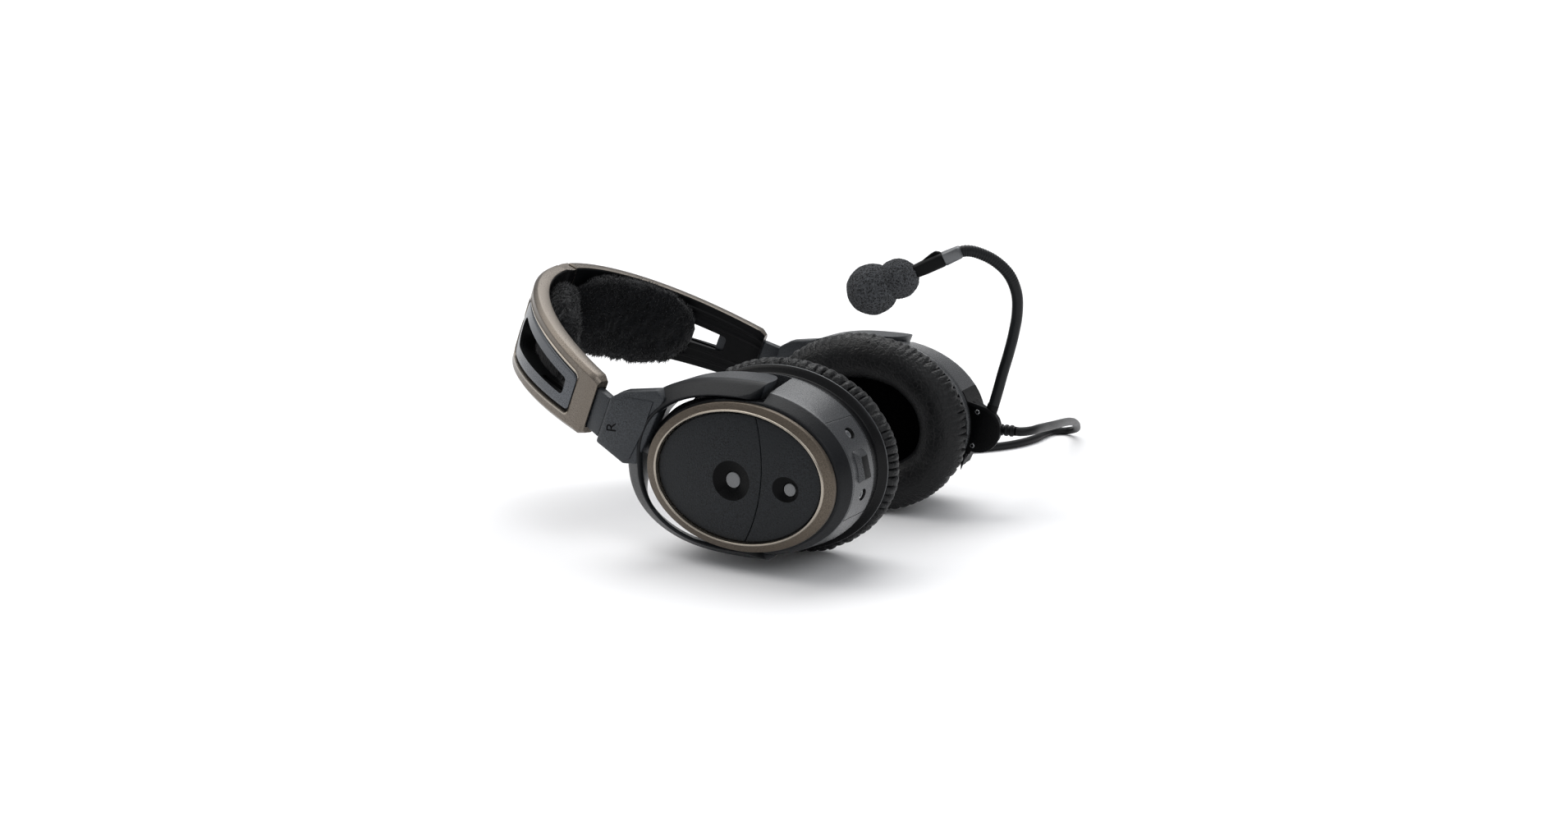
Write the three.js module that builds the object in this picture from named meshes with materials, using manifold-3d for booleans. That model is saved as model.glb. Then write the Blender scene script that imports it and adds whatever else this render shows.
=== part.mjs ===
// Aviation headset: two oval ear cups on forked yokes, a two-part sprung headband, a microphone boom
// on a swivel and one panel-powered cable with a round push-pull plug. Millimetres, +Z up.
// The headset lies on its back: +X is the wearer's down, +Y the left ear, +Z the wearer's front.

import * as THREE from 'three';
import * as BufferGeometryUtils from 'three/addons/utils/BufferGeometryUtils.js';
import Module from 'manifold-3d';

const wasm = await Module();
wasm.setup();

// ---- Driving dimensions, mm ----

const CUP = {
  pivotFromMiddle: 63.3, // fork pivot plane, from the headset's middle plane
  halfLength: 51, // oval side wall, along X
  halfWidth: 40.2, // oval side wall, along Z
  rim: -9.5, // inward edge of the shell
};
const PIVOT_X = 46.55; // from the middle of the whole headset to the fork pivots
const GAP = 0.3; // clearance between neighbouring pieces
const OVAL_SIDES = 32;
const SCREW_RADIUS = 2.1;
const SLIVER = 0.002; // faces thinner than this are merged away

const YOKE = {
  centreX: -3.5,
  outer: { halfX: 59.5, halfZ: 39.9, centreZ: 1.5 }, // outline of the fork seen from the side
  inner: { halfX: 47.5, halfZ: 33.8, centreZ: 0.4 },
  squareness: 2.4, // exponent of the super-ellipse
  tipX: 7.5, // the fork's two ends, past the pivots
  crestOut: 13.5,
  faceOut: 20.5,
};

const BAND = {
  originX: -41, // centre of the band's half-ellipse
  originZ: 5.5,
  lean: 22, // degrees that the crown leans to the front
  height: 127.7, // mid-surface half-axis, centre to crown
  halfSpan: 81.2, // mid-surface half-axis, centre to side
  endAngle: 1.23, // ellipse parameter at each arm's end, radians from the crown
  thickness: 8,
  endHalfWidth: 15,
  crownHalfWidth: 23.5,
};

const SLIDER = {
  tangentAngle: 1.107, // ellipse parameter where the bar runs parallel to the arm
  endDepth: 15, // from there to the arm's end
  offset: -1, // bar's middle, inward of the arm's mid-surface
  width: 20,
  barThickness: 2.4,
  neckThickness: 4.4,
  inside: 34,
  showing: 9.7,
};

const BOOM = {
  pivot: [57.5, -2], // swivel axis, X and Z
  hubRadius: 7.5,
  hubFrom: 58.1, // hub's two faces, from the headset's middle plane
  hubTo: 62.6,
  trunnion: 2,
  tubeRadius: 2.7,
};

const RELIEF = { fromX: 57.4, y: 65.8, z: -1.6 }; // the cable's strain relief, along +X

const CABLE = {
  radius: 2.25,
  coilMean: 27, // mid radius of the wound turns
  coilWide: 3, // turns side by side
  coilHigh: 2, // turns on each other
  coilCentre: [-62, 196],
};

// ---- Colours ----

const finish = (color, roughness, metalness = 0) => ({ color, roughness, metalness });
const BRONZE = finish(0x6f6558, 0.38, 0.75);
const GRAPHITE = finish(0x2b2d30, 0.5);
const INSERT_GREY = finish(0x3a3d41, 0.42, 0.3);
const BLACK = finish(0x121315, 0.6);
const LEATHER = finish(0x101113, 0.55);
const FLEECE = finish(0x0c0c0e, 0.95);
const FOAM = finish(0x2c2e31, 0.95);
const SCREEN = finish(0x8b8f93, 0.6);
const STEEL = finish(0x5b5f63, 0.35, 0.9);
const RUBBER = finish(0x16181a, 0.7);
const BOARD_GREEN = finish(0x1d4a33, 0.6);
const BRASS = finish(0xa08a4c, 0.35, 0.9);

// ---- Small tools ----

function toManifold(geometry) {
  const bare = geometry.clone();
  bare.deleteAttribute('normal');
  bare.deleteAttribute('uv');
  const merged = BufferGeometryUtils.mergeVertices(bare, 1e-4);
  return new wasm.Manifold(new wasm.Mesh({
    numProp: 3,
    vertProperties: new Float32Array(merged.attributes.position.array),
    triVerts: new Uint32Array(merged.index.array),
  }));
}

function fromManifold(manifold) {
  const mesh = manifold.simplify(SLIVER).getMesh();
  const geometry = new THREE.BufferGeometry();
  geometry.setAttribute('position', new THREE.BufferAttribute(new Float32Array(mesh.vertProperties), 3));
  geometry.setIndex(new THREE.BufferAttribute(new Uint32Array(mesh.triVerts), 1));
  return geometry;
}

function combine(first, others, operation) {
  let result = toManifold(first);
  for (const other of others) result = result[operation](toManifold(other));
  return fromManifold(result);
}

const cut = (body, ...tools) => combine(body, tools, 'subtract');
const join = (body, ...pieces) => combine(body, pieces, 'add');
const keep = (body, ...tools) => combine(body, tools, 'intersect');

function box(lowX, highX, lowY, highY, lowZ, highZ) {
  const geometry = new THREE.BoxGeometry(highX - lowX, highY - lowY, highZ - lowZ);
  return geometry.translate((lowX + highX) / 2, (lowY + highY) / 2, (lowZ + highZ) / 2);
}

// A cylinder along `axis` from `start`, `length` long, and a cone where the second radius differs.
function rod(start, axis, length, radius, sides = 16, endRadius = radius) {
  const geometry = new THREE.CylinderGeometry(endRadius, radius, length, sides);
  const direction = new THREE.Vector3(...axis).normalize();
  geometry.translate(0, length / 2, 0);
  geometry.applyQuaternion(new THREE.Quaternion().setFromUnitVectors(new THREE.Vector3(0, 1, 0), direction));
  return geometry.translate(...start);
}

// A closed solid through rings of points. Its two ends are capped, or the last ring meets the first.
function loft(rings, closed = false) {
  const sides = rings[0].length;
  const positions = rings.flat().flatMap((point) => [point.x, point.y, point.z]);
  const index = [];
  const bands = closed ? rings.length : rings.length - 1;
  for (let i = 0; i < bands; i += 1) {
    const a = i * sides;
    const b = ((i + 1) % rings.length) * sides;
    for (let j = 0; j < sides; j += 1) {
      const k = (j + 1) % sides;
      index.push(a + j, b + k, b + j, a + j, a + k, b + k);
    }
  }
  if (!closed) {
    for (const [ringAt, flip] of [[0, false], [rings.length - 1, true]]) {
      const centre = new THREE.Vector3();
      rings[ringAt].forEach((point) => centre.add(point));
      centre.divideScalar(sides);
      const hub = positions.length / 3;
      positions.push(centre.x, centre.y, centre.z);
      for (let j = 0; j < sides; j += 1) {
        const near = ringAt * sides + j;
        const next = ringAt * sides + ((j + 1) % sides);
        index.push(...(flip ? [hub, near, next] : [hub, next, near]));
      }
    }
  }
  const geometry = new THREE.BufferGeometry();
  geometry.setAttribute('position', new THREE.Float32BufferAttribute(positions, 3));
  geometry.setIndex(index);
  return facingOut(geometry);
}

// Turns every triangle round where the solid's signed volume is negative.
function facingOut(geometry) {
  const { array } = geometry.index;
  const { position } = geometry.attributes;
  const [a, b, c] = [new THREE.Vector3(), new THREE.Vector3(), new THREE.Vector3()];
  let volume = 0;
  for (let i = 0; i < array.length; i += 3) {
    a.fromBufferAttribute(position, array[i]);
    b.fromBufferAttribute(position, array[i + 1]);
    c.fromBufferAttribute(position, array[i + 2]);
    volume += a.dot(b.cross(c));
  }
  if (volume < 0) {
    for (let i = 0; i < array.length; i += 3) {
      [array[i + 1], array[i + 2]] = [array[i + 2], array[i + 1]];
    }
  }
  return geometry;
}

// Ovals in a cup's own frame: X along the cup, Y outward from the pivot plane, Z to the front.
function ovalRing([halfX, halfZ, out, lean = 0], sides = OVAL_SIDES) {
  return Array.from({ length: sides }, (_, i) => {
    const angle = (i / sides) * 2 * Math.PI;
    return new THREE.Vector3(halfX * Math.cos(angle), out, halfZ * Math.sin(angle) + lean);
  });
}

const ovalSolid = (stations, sides) => loft(stations.map((station) => ovalRing(station, sides)));
const ovalTube = (stations, sides) => loft(stations.map((station) => ovalRing(station, sides)), true);

function sweep(points, radius, steps, sides = 8) {
  const section = new THREE.Shape();
  for (let i = 0; i < sides; i += 1) {
    const angle = (i / sides) * 2 * Math.PI;
    const [x, y] = [radius * Math.cos(angle), radius * Math.sin(angle)];
    if (i === 0) section.moveTo(x, y);
    else section.lineTo(x, y);
  }
  section.closePath();
  const curve = new THREE.CatmullRomCurve3(points.map((p) => new THREE.Vector3(...p)), false, 'centripetal');
  return new THREE.ExtrudeGeometry(section, { steps, extrudePath: curve, bevelEnabled: false });
}

// A flat outline in X and Z, extruded along Y between two distances.
function slab(outline, fromY, toY) {
  const shape = new THREE.Shape(outline.map(([x, z]) => new THREE.Vector2(x, z)));
  const geometry = new THREE.ExtrudeGeometry(shape, { depth: toY - fromY, bevelEnabled: false });
  return geometry.rotateX(Math.PI / 2).translate(0, toY, 0);
}

function add(group, name, geometry, look) {
  const mesh = new THREE.Mesh(geometry, new THREE.MeshStandardMaterial(look));
  mesh.name = name;
  group.add(mesh);
}

// ---- Ear cup ----

const PLATE = { halfX: 40.2, halfZ: 28.2, from: 20.3 };
const PORTS = [
  { name: 'large', x: -2, z: -1.2, dish: 9.1, screen: 3.45 },
  { name: 'small', x: 25.8, z: -2.2, dish: 5.3, screen: 2.75 },
];
const SEAM = { radius: 64, centreX: -51, centreZ: 5.4 };
const FLANGE_FACE = -17.6;
const CUSHION_FACE = -33.3;

// Half length, half width, distance outward and lean to the front of the side wall's ovals.
const wallStations = [
  [50.2, 39.4, CUP.rim, 0.8], [CUP.halfLength, CUP.halfWidth, -8, 0.8], [CUP.halfLength, 37.2, 12.7, 0.6],
  [47.8, 33.9, 19.9, 0.1],
];
const POCKET = { front: 33.5, rear: -32.7, startX: -44, endX: 11 };

// The fork's two arms lie in this recess, which follows their inner face.
function forkPockets() {
  const around = box(POCKET.startX, POCKET.endX, -7.4, 40, -60, 60);
  const left = slab([[POCKET.endX + 1, POCKET.front], [POCKET.endX + 1, POCKET.rear], [-3, POCKET.rear],
    [-3, POCKET.front]], -8, 41);
  return cut(around, join(yokePrism(-2.6, -0.7), left));
}

function bottomWindow(centreZ, inset) {
  return box(34 + inset, 80, -7.6 + inset, 12.2 - inset, centreZ - 21 + inset, centreZ + 21 - inset);
}

function cupShell(windowZ) {
  const cavity = [[46.5, 29.8, CUP.rim - 1], [46.5, 29.8, 11], [42, 27, 16.9]];
  const bores = [1, -1].map((side) => rod([0, 0, side * 28], [0, 0, side], 14, 2.7));
  return cut(ovalSolid(wallStations), ovalSolid(cavity), forkPockets(), ...bores, bottomWindow(windowZ, 0));
}

function bezelRing() {
  return ovalTube([
    [46.9, 33.2, 20.2], [46.4, 32.7, 22.4], [43.2, 30.6, 23.2], [42.2, 30, 24], [40.9, 28.8, 23.6],
    [40.6, 28.6, 20.2],
  ]);
}

function outerPlate() {
  const dome = [[40.2, 28.2, 22.2], [34, 23.4, 23.5], [18, 12.4, 24.8]];
  let plate = ovalSolid([[PLATE.halfX, PLATE.halfZ, PLATE.from], ...dome]);
  for (const port of PORTS) {
    const dish = rod([port.x, 22.9, port.z], [0, 1, 0], 3, port.screen + 0.4, 20, port.dish + 1.6);
    const well = rod([port.x, 21.2, port.z], [0, 1, 0], 3, port.screen + GAP, 20);
    plate = cut(plate, dish, well);
  }
  return plate;
}

function plateHalf(upper) {
  const radius = SEAM.radius + (upper ? -0.15 : 0.15);
  const disc = rod([SEAM.centreX, 10, SEAM.centreZ], [0, 1, 0], 30, radius, 72);
  return upper ? keep(outerPlate(), disc) : cut(outerPlate(), disc);
}

function flangeRing() {
  return ovalTube([
    [50, 39, -9.9, 0.8], [50, 39, -14.2, 0.8], [53.3, 42.6, -15.2, 0.8], [53.3, 42.6, FLANGE_FACE, 0.8],
    [40, 28, FLANGE_FACE], [40, 28, -9.9],
  ]);
}

function earCushion() {
  const lean = 0.6;
  return ovalTube([
    [50, 40, FLANGE_FACE - GAP, lean], [53.8, 43.6, -20.5, lean], [54.7, 44.4, -24.5, lean],
    [51.5, 41.2, -30.5, lean], [44.5, 34.5, CUSHION_FACE, lean], [40.5, 30.5, CUSHION_FACE, lean],
    [34.5, 25, -31, lean],
    [32.5, 23, -24, lean], [36, 26.5, FLANGE_FACE - GAP, lean],
  ], 32);
}

function addCup(group, side, windowZ) {
  add(group, `${side}_cup_shell`, cupShell(windowZ), GRAPHITE);
  add(group, `${side}_bezel_ring`, bezelRing(), BRONZE);
  add(group, `${side}_plate_upper`, plateHalf(true), GRAPHITE);
  add(group, `${side}_plate_lower`, plateHalf(false), GRAPHITE);
  for (const port of PORTS) {
    const screen = rod([port.x, 21.4, port.z], [0, 1, 0], 1.6, port.screen, 20);
    add(group, `${side}_port_screen_${port.name}`, screen, SCREEN);
  }
  add(group, `${side}_cushion_flange`, flangeRing(), BLACK);
  const driverHole = rod([-2, -12, 0], [0, 1, 0], 8, 19.3, 24);
  add(group, `${side}_baffle`, cut(ovalSolid([[46, 29.3, -9.3], [46, 29.3, -7]]), driverHole), BLACK);
  const driver = join(rod([-2, -9.3, 0], [0, 1, 0], 3.2, 19, 24), rod([-2, -7, 0], [0, 1, 0], 10, 11, 16));
  add(group, `${side}_driver`, driver, STEEL);
  add(group, `${side}_circuit_board`, box(-24, 24, 7, 8.6, -13, 13), BOARD_GREEN);
  add(group, `${side}_foam_scrim`, ovalSolid([[39.4, 27.4, -13], [39.4, 27.4, -10]], 28), FOAM);
  add(group, `${side}_ear_cushion`, earCushion(), LEATHER);
}

// ---- Bottom of each cup: a blank cover on the right, the boom and cable module on the left ----

const RIGHT_WINDOW_Z = 5;
const LEFT_WINDOW_Z = -3;
const wallSkin = (inset) => ovalSolid(wallStations.map(([x, z, out]) => [x - inset, z - inset, out]));

function blankCover() {
  const panel = cut(keep(wallSkin(0), bottomWindow(RIGHT_WINDOW_Z, GAP)), wallSkin(2.5));
  const tab = slab([[44, 0], [52.2, 0.4], [53, 2.5], [52.8, 11], [51.6, 13.2], [44, 14]], -1.5, 7.6);
  const holes = coverScrewSeats().map((seat) => rod(seat.inner, seat.axis, 6, SCREW_RADIUS + GAP));
  return cut(join(panel, cut(tab, wallSkin(2))), ...holes);
}

function coverScrewSeats() {
  return [20.5, -6].map((z) => {
    const x = CUP.halfLength * Math.sqrt(1 - (z / CUP.halfWidth) ** 2);
    const axis = new THREE.Vector3(x / CUP.halfLength ** 2, 0, z / CUP.halfWidth ** 2).normalize().toArray();
    return { axis, inner: [x - axis[0] * 4, 2, z - axis[2] * 4] };
  });
}

function addBlankCover(group) {
  add(group, 'right_bottom_cover', blankCover(), GRAPHITE);
  coverScrewSeats().forEach((seat, i) => {
    add(group, `cover_screw_${i + 1}`, rod(seat.inner, seat.axis, 3.1, SCREW_RADIUS, 12), STEEL);
  });
}

const MODULE = {
  endX: 54.3, endZ: -0.5, cheekRadius: 12, bodyRadius: 8.2,
  innerFace: 56.2, cheekFace: 57.8, slotFace: 62.9, outerFace: 69.5, // from the headset's middle plane
};

// The tapered outline, from the cup's wall to a round end.
function moduleOutline(radius) {
  const outline = [[46, 14], [40, 16], [34.6, 16.5], [34.6, -22], [41, -22.4]];
  for (let i = 0; i <= 9; i += 1) {
    const angle = THREE.MathUtils.degToRad(-112 + (i * 182) / 9);
    outline.push([MODULE.endX + radius * Math.cos(angle), MODULE.endZ + radius * Math.sin(angle)]);
  }
  return outline;
}

// The block carries the boom's swivel in a slot, and the cable in its end.
function boomModule() {
  const toCup = -CUP.pivotFromMiddle;
  const cheek = slab(moduleOutline(MODULE.cheekRadius), MODULE.innerFace + toCup, MODULE.slotFace + toCup);
  const body = slab(moduleOutline(MODULE.bodyRadius), MODULE.cheekFace + toCup, MODULE.outerFace + toCup);
  const block = join(cheek, body);
  const neck = ovalSolid([[50.4, 39.4, -30, 0.8], [50.4, 39.4, -7, 0.8]]);
  const panel = cut(keep(wallSkin(-0.5), bottomWindow(LEFT_WINDOW_Z, GAP)), wallSkin(2.5));
  const [x, z] = BOOM.pivot;
  const hollows = [
    box(x - 8.4, 90, MODULE.cheekFace + toCup, MODULE.slotFace + toCup, z - 8, 40),
    rod([x, -8, z], [0, 1, 0], 3, BOOM.trunnion + GAP),
    rod([57, RELIEF.y + toCup, RELIEF.z], [1, 0, 0], 20, 2.75),
    ...moduleScrewSeats().map((seat) => rod([seat[0], -30, seat[1]], [0, 1, 0], 25, SCREW_RADIUS + GAP)),
  ];
  return cut(join(panel, cut(block, wallSkin(-GAP), neck)), ...hollows);
}

const moduleScrewSeats = () => [[54.3, 8.2], [52, -9]];

function addBoomModule(group) {
  const depth = MODULE.innerFace - CUP.pivotFromMiddle + 0.5;
  add(group, 'boom_cable_module', boomModule(), BLACK);
  moduleScrewSeats().forEach(([x, z], i) => {
    const screw = rod([x, depth, z], [0, 1, 0], 1, SCREW_RADIUS, 12);
    add(group, `module_screw_${i + 1}`, screw, STEEL);
  });
}

// ---- Yoke ----

function yokePoint(outline, angle) {
  const power = 2 / YOKE.squareness;
  const cosine = Math.cos(angle);
  const sine = Math.sin(angle);
  return [
    YOKE.centreX + outline.halfX * Math.sign(cosine) * Math.abs(cosine) ** power,
    outline.centreZ + outline.halfZ * Math.sign(sine) * Math.abs(sine) ** power,
  ];
}

// 1 where the fork is only a slim hoop with a gap inside it, at the rear of the crown end.
function yokeSlimness(x, z) {
  return THREE.MathUtils.smoothstep(-z, 2, 22) * THREE.MathUtils.smoothstep(-x, 12, 30);
}

function yokeArc() {
  const steps = 30;
  const tip = Math.acos(((YOKE.tipX - YOKE.centreX) / YOKE.outer.halfX) ** (YOKE.squareness / 2));
  const rings = [];
  for (let i = 0; i <= steps; i += 1) {
    const angle = tip + (i / steps) * (2 * Math.PI - 2 * tip);
    const [innerX, innerZ] = yokePoint(YOKE.inner, angle);
    const [outerX, outerZ] = yokePoint(YOKE.outer, angle);
    const toCrown = THREE.MathUtils.clamp((-5 - outerX) / 55, 0, 1);
    const slim = yokeSlimness(outerX, outerZ);
    const low = THREE.MathUtils.lerp(-4.5 + 11 * toCrown, 12.5, slim);
    const at = (share, out) => new THREE.Vector3(
      innerX + (outerX - innerX) * share, out, innerZ + (outerZ - innerZ) * share,
    );
    rings.push([
      at(0.25 * toCrown + 0.3 * slim, low), at(1, low), at(1, YOKE.crestOut), at(0.12, YOKE.faceOut),
      at(0, YOKE.faceOut - 1),
    ]);
  }
  return loft(rings);
}

const STEM_OUTLINE = [[-67.4, 28.4], [-76, 7.2], [-61.5, -1.5], [-56, 0], [-40, 30], [-42.5, 34.2], [-60.5, 32]];

function yoke() {
  const stem = slab(STEM_OUTLINE, 12.5, 20);
  const bores = [rod([0, 0, 28], [0, 0, 1], 11.5, 2.7), rod([0, 0, -28], [0, 0, -1], 8.8, 2.7)];
  const socket = bandToCup(sliderBox(-SLIDER.showing - GAP, 3, SLIDER.width / 2 + GAP,
    SLIDER.neckThickness / 2 + GAP));
  return cut(join(yokeArc(), cut(stem, yokePrism(3, 3))), ...bores, socket);
}

// A prism inside the fork, its inner outline grown by the two amounts.
function yokePrism(growX, growZ) {
  const { halfX, halfZ, centreZ } = YOKE.inner;
  const outline = { halfX: halfX + growX, halfZ: halfZ + growZ, centreZ };
  const rings = [-9, 42].map((out) => Array.from({ length: 36 }, (_, i) => {
    const [x, z] = yokePoint(outline, (i / 36) * 2 * Math.PI);
    return new THREE.Vector3(x, out, z);
  }));
  return loft(rings);
}

// From the headband's frame to the left cup's frame.
function bandToCup(geometry) {
  geometry.rotateY(THREE.MathUtils.degToRad(BAND.lean));
  return geometry.translate(BAND.originX, -CUP.pivotFromMiddle, BAND.originZ);
}

function addYoke(group, side) {
  add(group, `${side}_yoke`, yoke(), GRAPHITE);
  add(group, `${side}_pivot_pin_front`, rod([0, 0, 31], [0, 0, 1], 8.2, 2.4), STEEL);
  add(group, `${side}_pivot_pin_rear`, rod([0, 0, -30.2], [0, 0, -1], 6.3, 2.4), STEEL);
}

// ---- Headband. Its own frame has the crown at -X, +Y to the left arm and +Z to the wearer's front ----

function bandPoint(angle, outward, across) {
  const [c, s] = [Math.cos(angle), Math.sin(angle)];
  const normal = new THREE.Vector2(-BAND.halfSpan * c, BAND.height * s).normalize();
  return new THREE.Vector3(
    -BAND.height * c + normal.x * outward, BAND.halfSpan * s + normal.y * outward, across,
  );
}

function bandHalfWidth(angle) {
  const share = THREE.MathUtils.clamp(angle / BAND.endAngle, 0, 1);
  return BAND.crownHalfWidth + (BAND.endHalfWidth - BAND.crownHalfWidth) * share ** 1.5;
}

// A curved slab along the arm between two ellipse parameters and two depths.
function armSlab(from, to, low, high, halfWidth, bevel = 0, steps = 16) {
  const rings = [];
  for (let i = 0; i <= steps; i += 1) {
    const angle = from + ((to - from) * i) / steps;
    const w = halfWidth(angle);
    const ring = [bandPoint(angle, low, -w), bandPoint(angle, low, w)];
    if (bevel) {
      ring.push(bandPoint(angle, high - bevel, w), bandPoint(angle, high, w - bevel));
      ring.push(bandPoint(angle, high, bevel - w), bandPoint(angle, high - bevel, -w));
    } else {
      ring.push(bandPoint(angle, high, w), bandPoint(angle, high, -w));
    }
    rings.push(ring);
  }
  return loft(rings);
}

function armRod(angle, low, high, radius) {
  const start = bandPoint(angle, low, 0);
  const axis = bandPoint(angle, high, 0).sub(start);
  return rod(start.toArray(), axis.toArray(), axis.length(), radius, 24);
}

const WINDOW = { from: 0.36, to: 1.13, rim: 5 };
const SLOT = { from: 0.6, to: 1.04, halfWidth: 3.6 };
const windowHalfWidth = (angle) => bandHalfWidth(angle) - WINDOW.rim;

function windowTool(low, high, shrink) {
  const width = (angle) => windowHalfWidth(angle) - shrink;
  const round = width(WINDOW.from + 0.1);
  return join(
    armSlab(WINDOW.from + 0.1, WINDOW.to - shrink / 120, low, high, width, 0, 12),
    armRod(WINDOW.from + 0.1, low, high, round),
  );
}

function slotTool() {
  return join(
    armSlab(SLOT.from, SLOT.to, -9, 9, () => SLOT.halfWidth, 0, 8),
    armRod(SLOT.from, -9, 9, SLOT.halfWidth),
    armRod(SLOT.to, -9, 9, SLOT.halfWidth),
  );
}

// A box along the slider's straight path; depth is measured from the arm's end into the arm.
function sliderBox(fromDepth, toDepth, halfWidth, halfThickness) {
  const along = bandPoint(SLIDER.tangentAngle + 0.001, 0, 0)
    .sub(bandPoint(SLIDER.tangentAngle - 0.001, 0, 0));
  along.normalize();
  const start = bandPoint(SLIDER.tangentAngle, SLIDER.offset, 0);
  const from = SLIDER.endDepth - toDepth;
  const to = SLIDER.endDepth - fromDepth;
  const geometry = box(from, to, -halfThickness, halfThickness, -halfWidth, halfWidth);
  geometry.rotateZ(Math.atan2(along.y, along.x));
  return geometry.translate(start.x, start.y, 0);
}

function sliderBar() {
  const bar = sliderBox(GAP - 1, SLIDER.inside, SLIDER.width / 2, SLIDER.barThickness / 2);
  const neck = sliderBox(-SLIDER.showing, -0.4, SLIDER.width / 2, SLIDER.neckThickness / 2);
  return cut(join(bar, neck), sliderBox(15, 29, 4, 9));
}

const HINGE = { radius: 4, pin: 1.6, bodyFrom: 0.056 };
const LUGS = { left: [[-22.5, -13.3], [12.9, 22.5]], right: [[-13, 7.9]] };
const hingeCentre = () => bandPoint(0, 0, 0);

function hingeLug([from, to]) {
  const centre = hingeCentre();
  const neck = box(centre.x - 3.6, centre.x + 3.6, 0, 7, from, to);
  return join(rod([centre.x, 0, from], [0, 0, 1], to - from, HINGE.radius, 20), neck);
}

function bandFrame(side) {
  const half = BAND.thickness / 2;
  let frame = armSlab(HINGE.bodyFrom, BAND.endAngle, -half, half, bandHalfWidth, 1.2, 20);
  frame = cut(frame, windowTool(2.2, 9, 0), slotTool());
  const mouth = sliderBox(-3, 9, SLIDER.width / 2 + 0.4, SLIDER.neckThickness / 2 + 0.35);
  const channel = sliderBox(8, SLIDER.inside + 7, SLIDER.width / 2 + 0.4, SLIDER.barThickness / 2 + 0.3);
  const bore = rod([hingeCentre().x, 0, -30], [0, 0, 1], 60, HINGE.pin + GAP);
  frame = cut(frame, mouth, channel);
  return cut(join(frame, ...LUGS[side].map(hingeLug)), bore);
}

function headPad() {
  const rings = [];
  const steps = 12;
  for (let i = 0; i <= steps; i += 1) {
    const share = i / steps;
    const angle = 0.05 + share * 0.85;
    const swell = Math.sqrt(Math.max(0.12, 1 - Math.abs(2 * share - 1) ** 3));
    const w = 22 * swell;
    const depth = 16 * swell;
    rings.push([
      bandPoint(angle, -4.5, -w * 0.9), bandPoint(angle, -4.5 - depth * 0.5, -w),
      bandPoint(angle, -4.5 - depth, -w * 0.6), bandPoint(angle, -4.5 - depth, w * 0.6),
      bandPoint(angle, -4.5 - depth * 0.5, w), bandPoint(angle, -4.5, w * 0.9),
    ]);
  }
  return loft(rings);
}

function torsionSpring() {
  const centre = hingeCentre();
  const points = [];
  for (let i = 0; i <= 30; i += 1) {
    const angle = (i / 12) * 2 * Math.PI;
    points.push([centre.x + 2.9 * Math.cos(angle), 2.9 * Math.sin(angle), 8.9 + (i / 30) * 3]);
  }
  return sweep(points, 0.5, 30, 5);
}

function addBandHalf(group, side) {
  add(group, `${side}_band_frame`, bandFrame(side), BRONZE);
  const insert = cut(windowTool(2.5, 3.7, GAP), slotTool());
  add(group, `${side}_band_insert`, insert, INSERT_GREY);
  add(group, `${side}_height_slider`, sliderBar(), GRAPHITE);
  add(group, `${side}_head_pad`, headPad(), FLEECE);
}

// ---- Microphone boom ----

const boomRoute = [
  [61, 60.2, 10.8], [63.4, 59.6, 19], [66.3, 58.4, 29], [69.6, 56.6, 39], [72.6, 54.4, 49],
  [75.1, 51.4, 59.5], [75.7, 48, 69.4], [73, 44, 78.6], [66.8, 39.8, 85.4], [59, 35.2, 89.3],
  [55.2, 33.3, 89.7], [52.7, 32, 89.1],
];
const MIC = { from: [51.6, 31.4, 88.6], to: [34.5, 24.8, 80.2], halfWidth: 4.4, halfHeight: 3.2 };
const WINDSCREEN = { small: [26.3, 21.6, 76.2, 9.8], large: [14.6, 18, 70.9, 12.5] };

// A box from one point to another, with its top to the wearer's front.
function beam(from, to, halfWidth, halfHeight) {
  const start = new THREE.Vector3(...from);
  const along = new THREE.Vector3(...to).sub(start);
  const length = along.length();
  const x = along.clone().normalize();
  const y = new THREE.Vector3(0, 0, 1).cross(x).normalize();
  const z = x.clone().cross(y);
  const geometry = new THREE.BoxGeometry(length, 2 * halfWidth, 2 * halfHeight).translate(length / 2, 0, 0);
  return geometry.applyMatrix4(new THREE.Matrix4().makeBasis(x, y, z).setPosition(start));
}

const between = (from, to, share) => from.map((value, i) => value + (to[i] - value) * share);

function boomHub() {
  const [x, z] = BOOM.pivot;
  const thickness = BOOM.hubTo - BOOM.hubFrom;
  const disc = rod([x, BOOM.hubFrom, z], [0, 1, 0], thickness, BOOM.hubRadius, 24);
  const trunnion = rod([x, BOOM.hubFrom - 1.6, z], [0, 1, 0], thickness, BOOM.trunnion, 14);
  const collar = rod([x, BOOM.hubFrom + thickness / 2, z], [3.3, -0.1, 12.4], 12.4, 2.2, 12, 2.4);
  return join(disc, trunnion, collar);
}

function addBoom(group) {
  add(group, 'boom_hub', boomHub(), BLACK);
  add(group, 'boom_gooseneck', sweep(boomRoute, BOOM.tubeRadius, 26, 8), RUBBER);
  const split = between(MIC.from, MIC.to, 0.34);
  add(group, 'mic_collar', beam(MIC.from, split, MIC.halfWidth, MIC.halfHeight), STEEL);
  const bodyStart = between(MIC.from, MIC.to, 0.37);
  add(group, 'mic_body', beam(bodyStart, MIC.to, MIC.halfWidth - 0.3, MIC.halfHeight - 0.2), BLACK);
  const capsuleStart = between(MIC.from, MIC.to, 1.02);
  const inward = MIC.to.map((value, i) => value - MIC.from[i]);
  add(group, 'mic_capsule', rod(capsuleStart, inward, 9, 3, 14), STEEL);
  add(group, 'mic_windscreen', windscreen(inward), FOAM);
}

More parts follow.
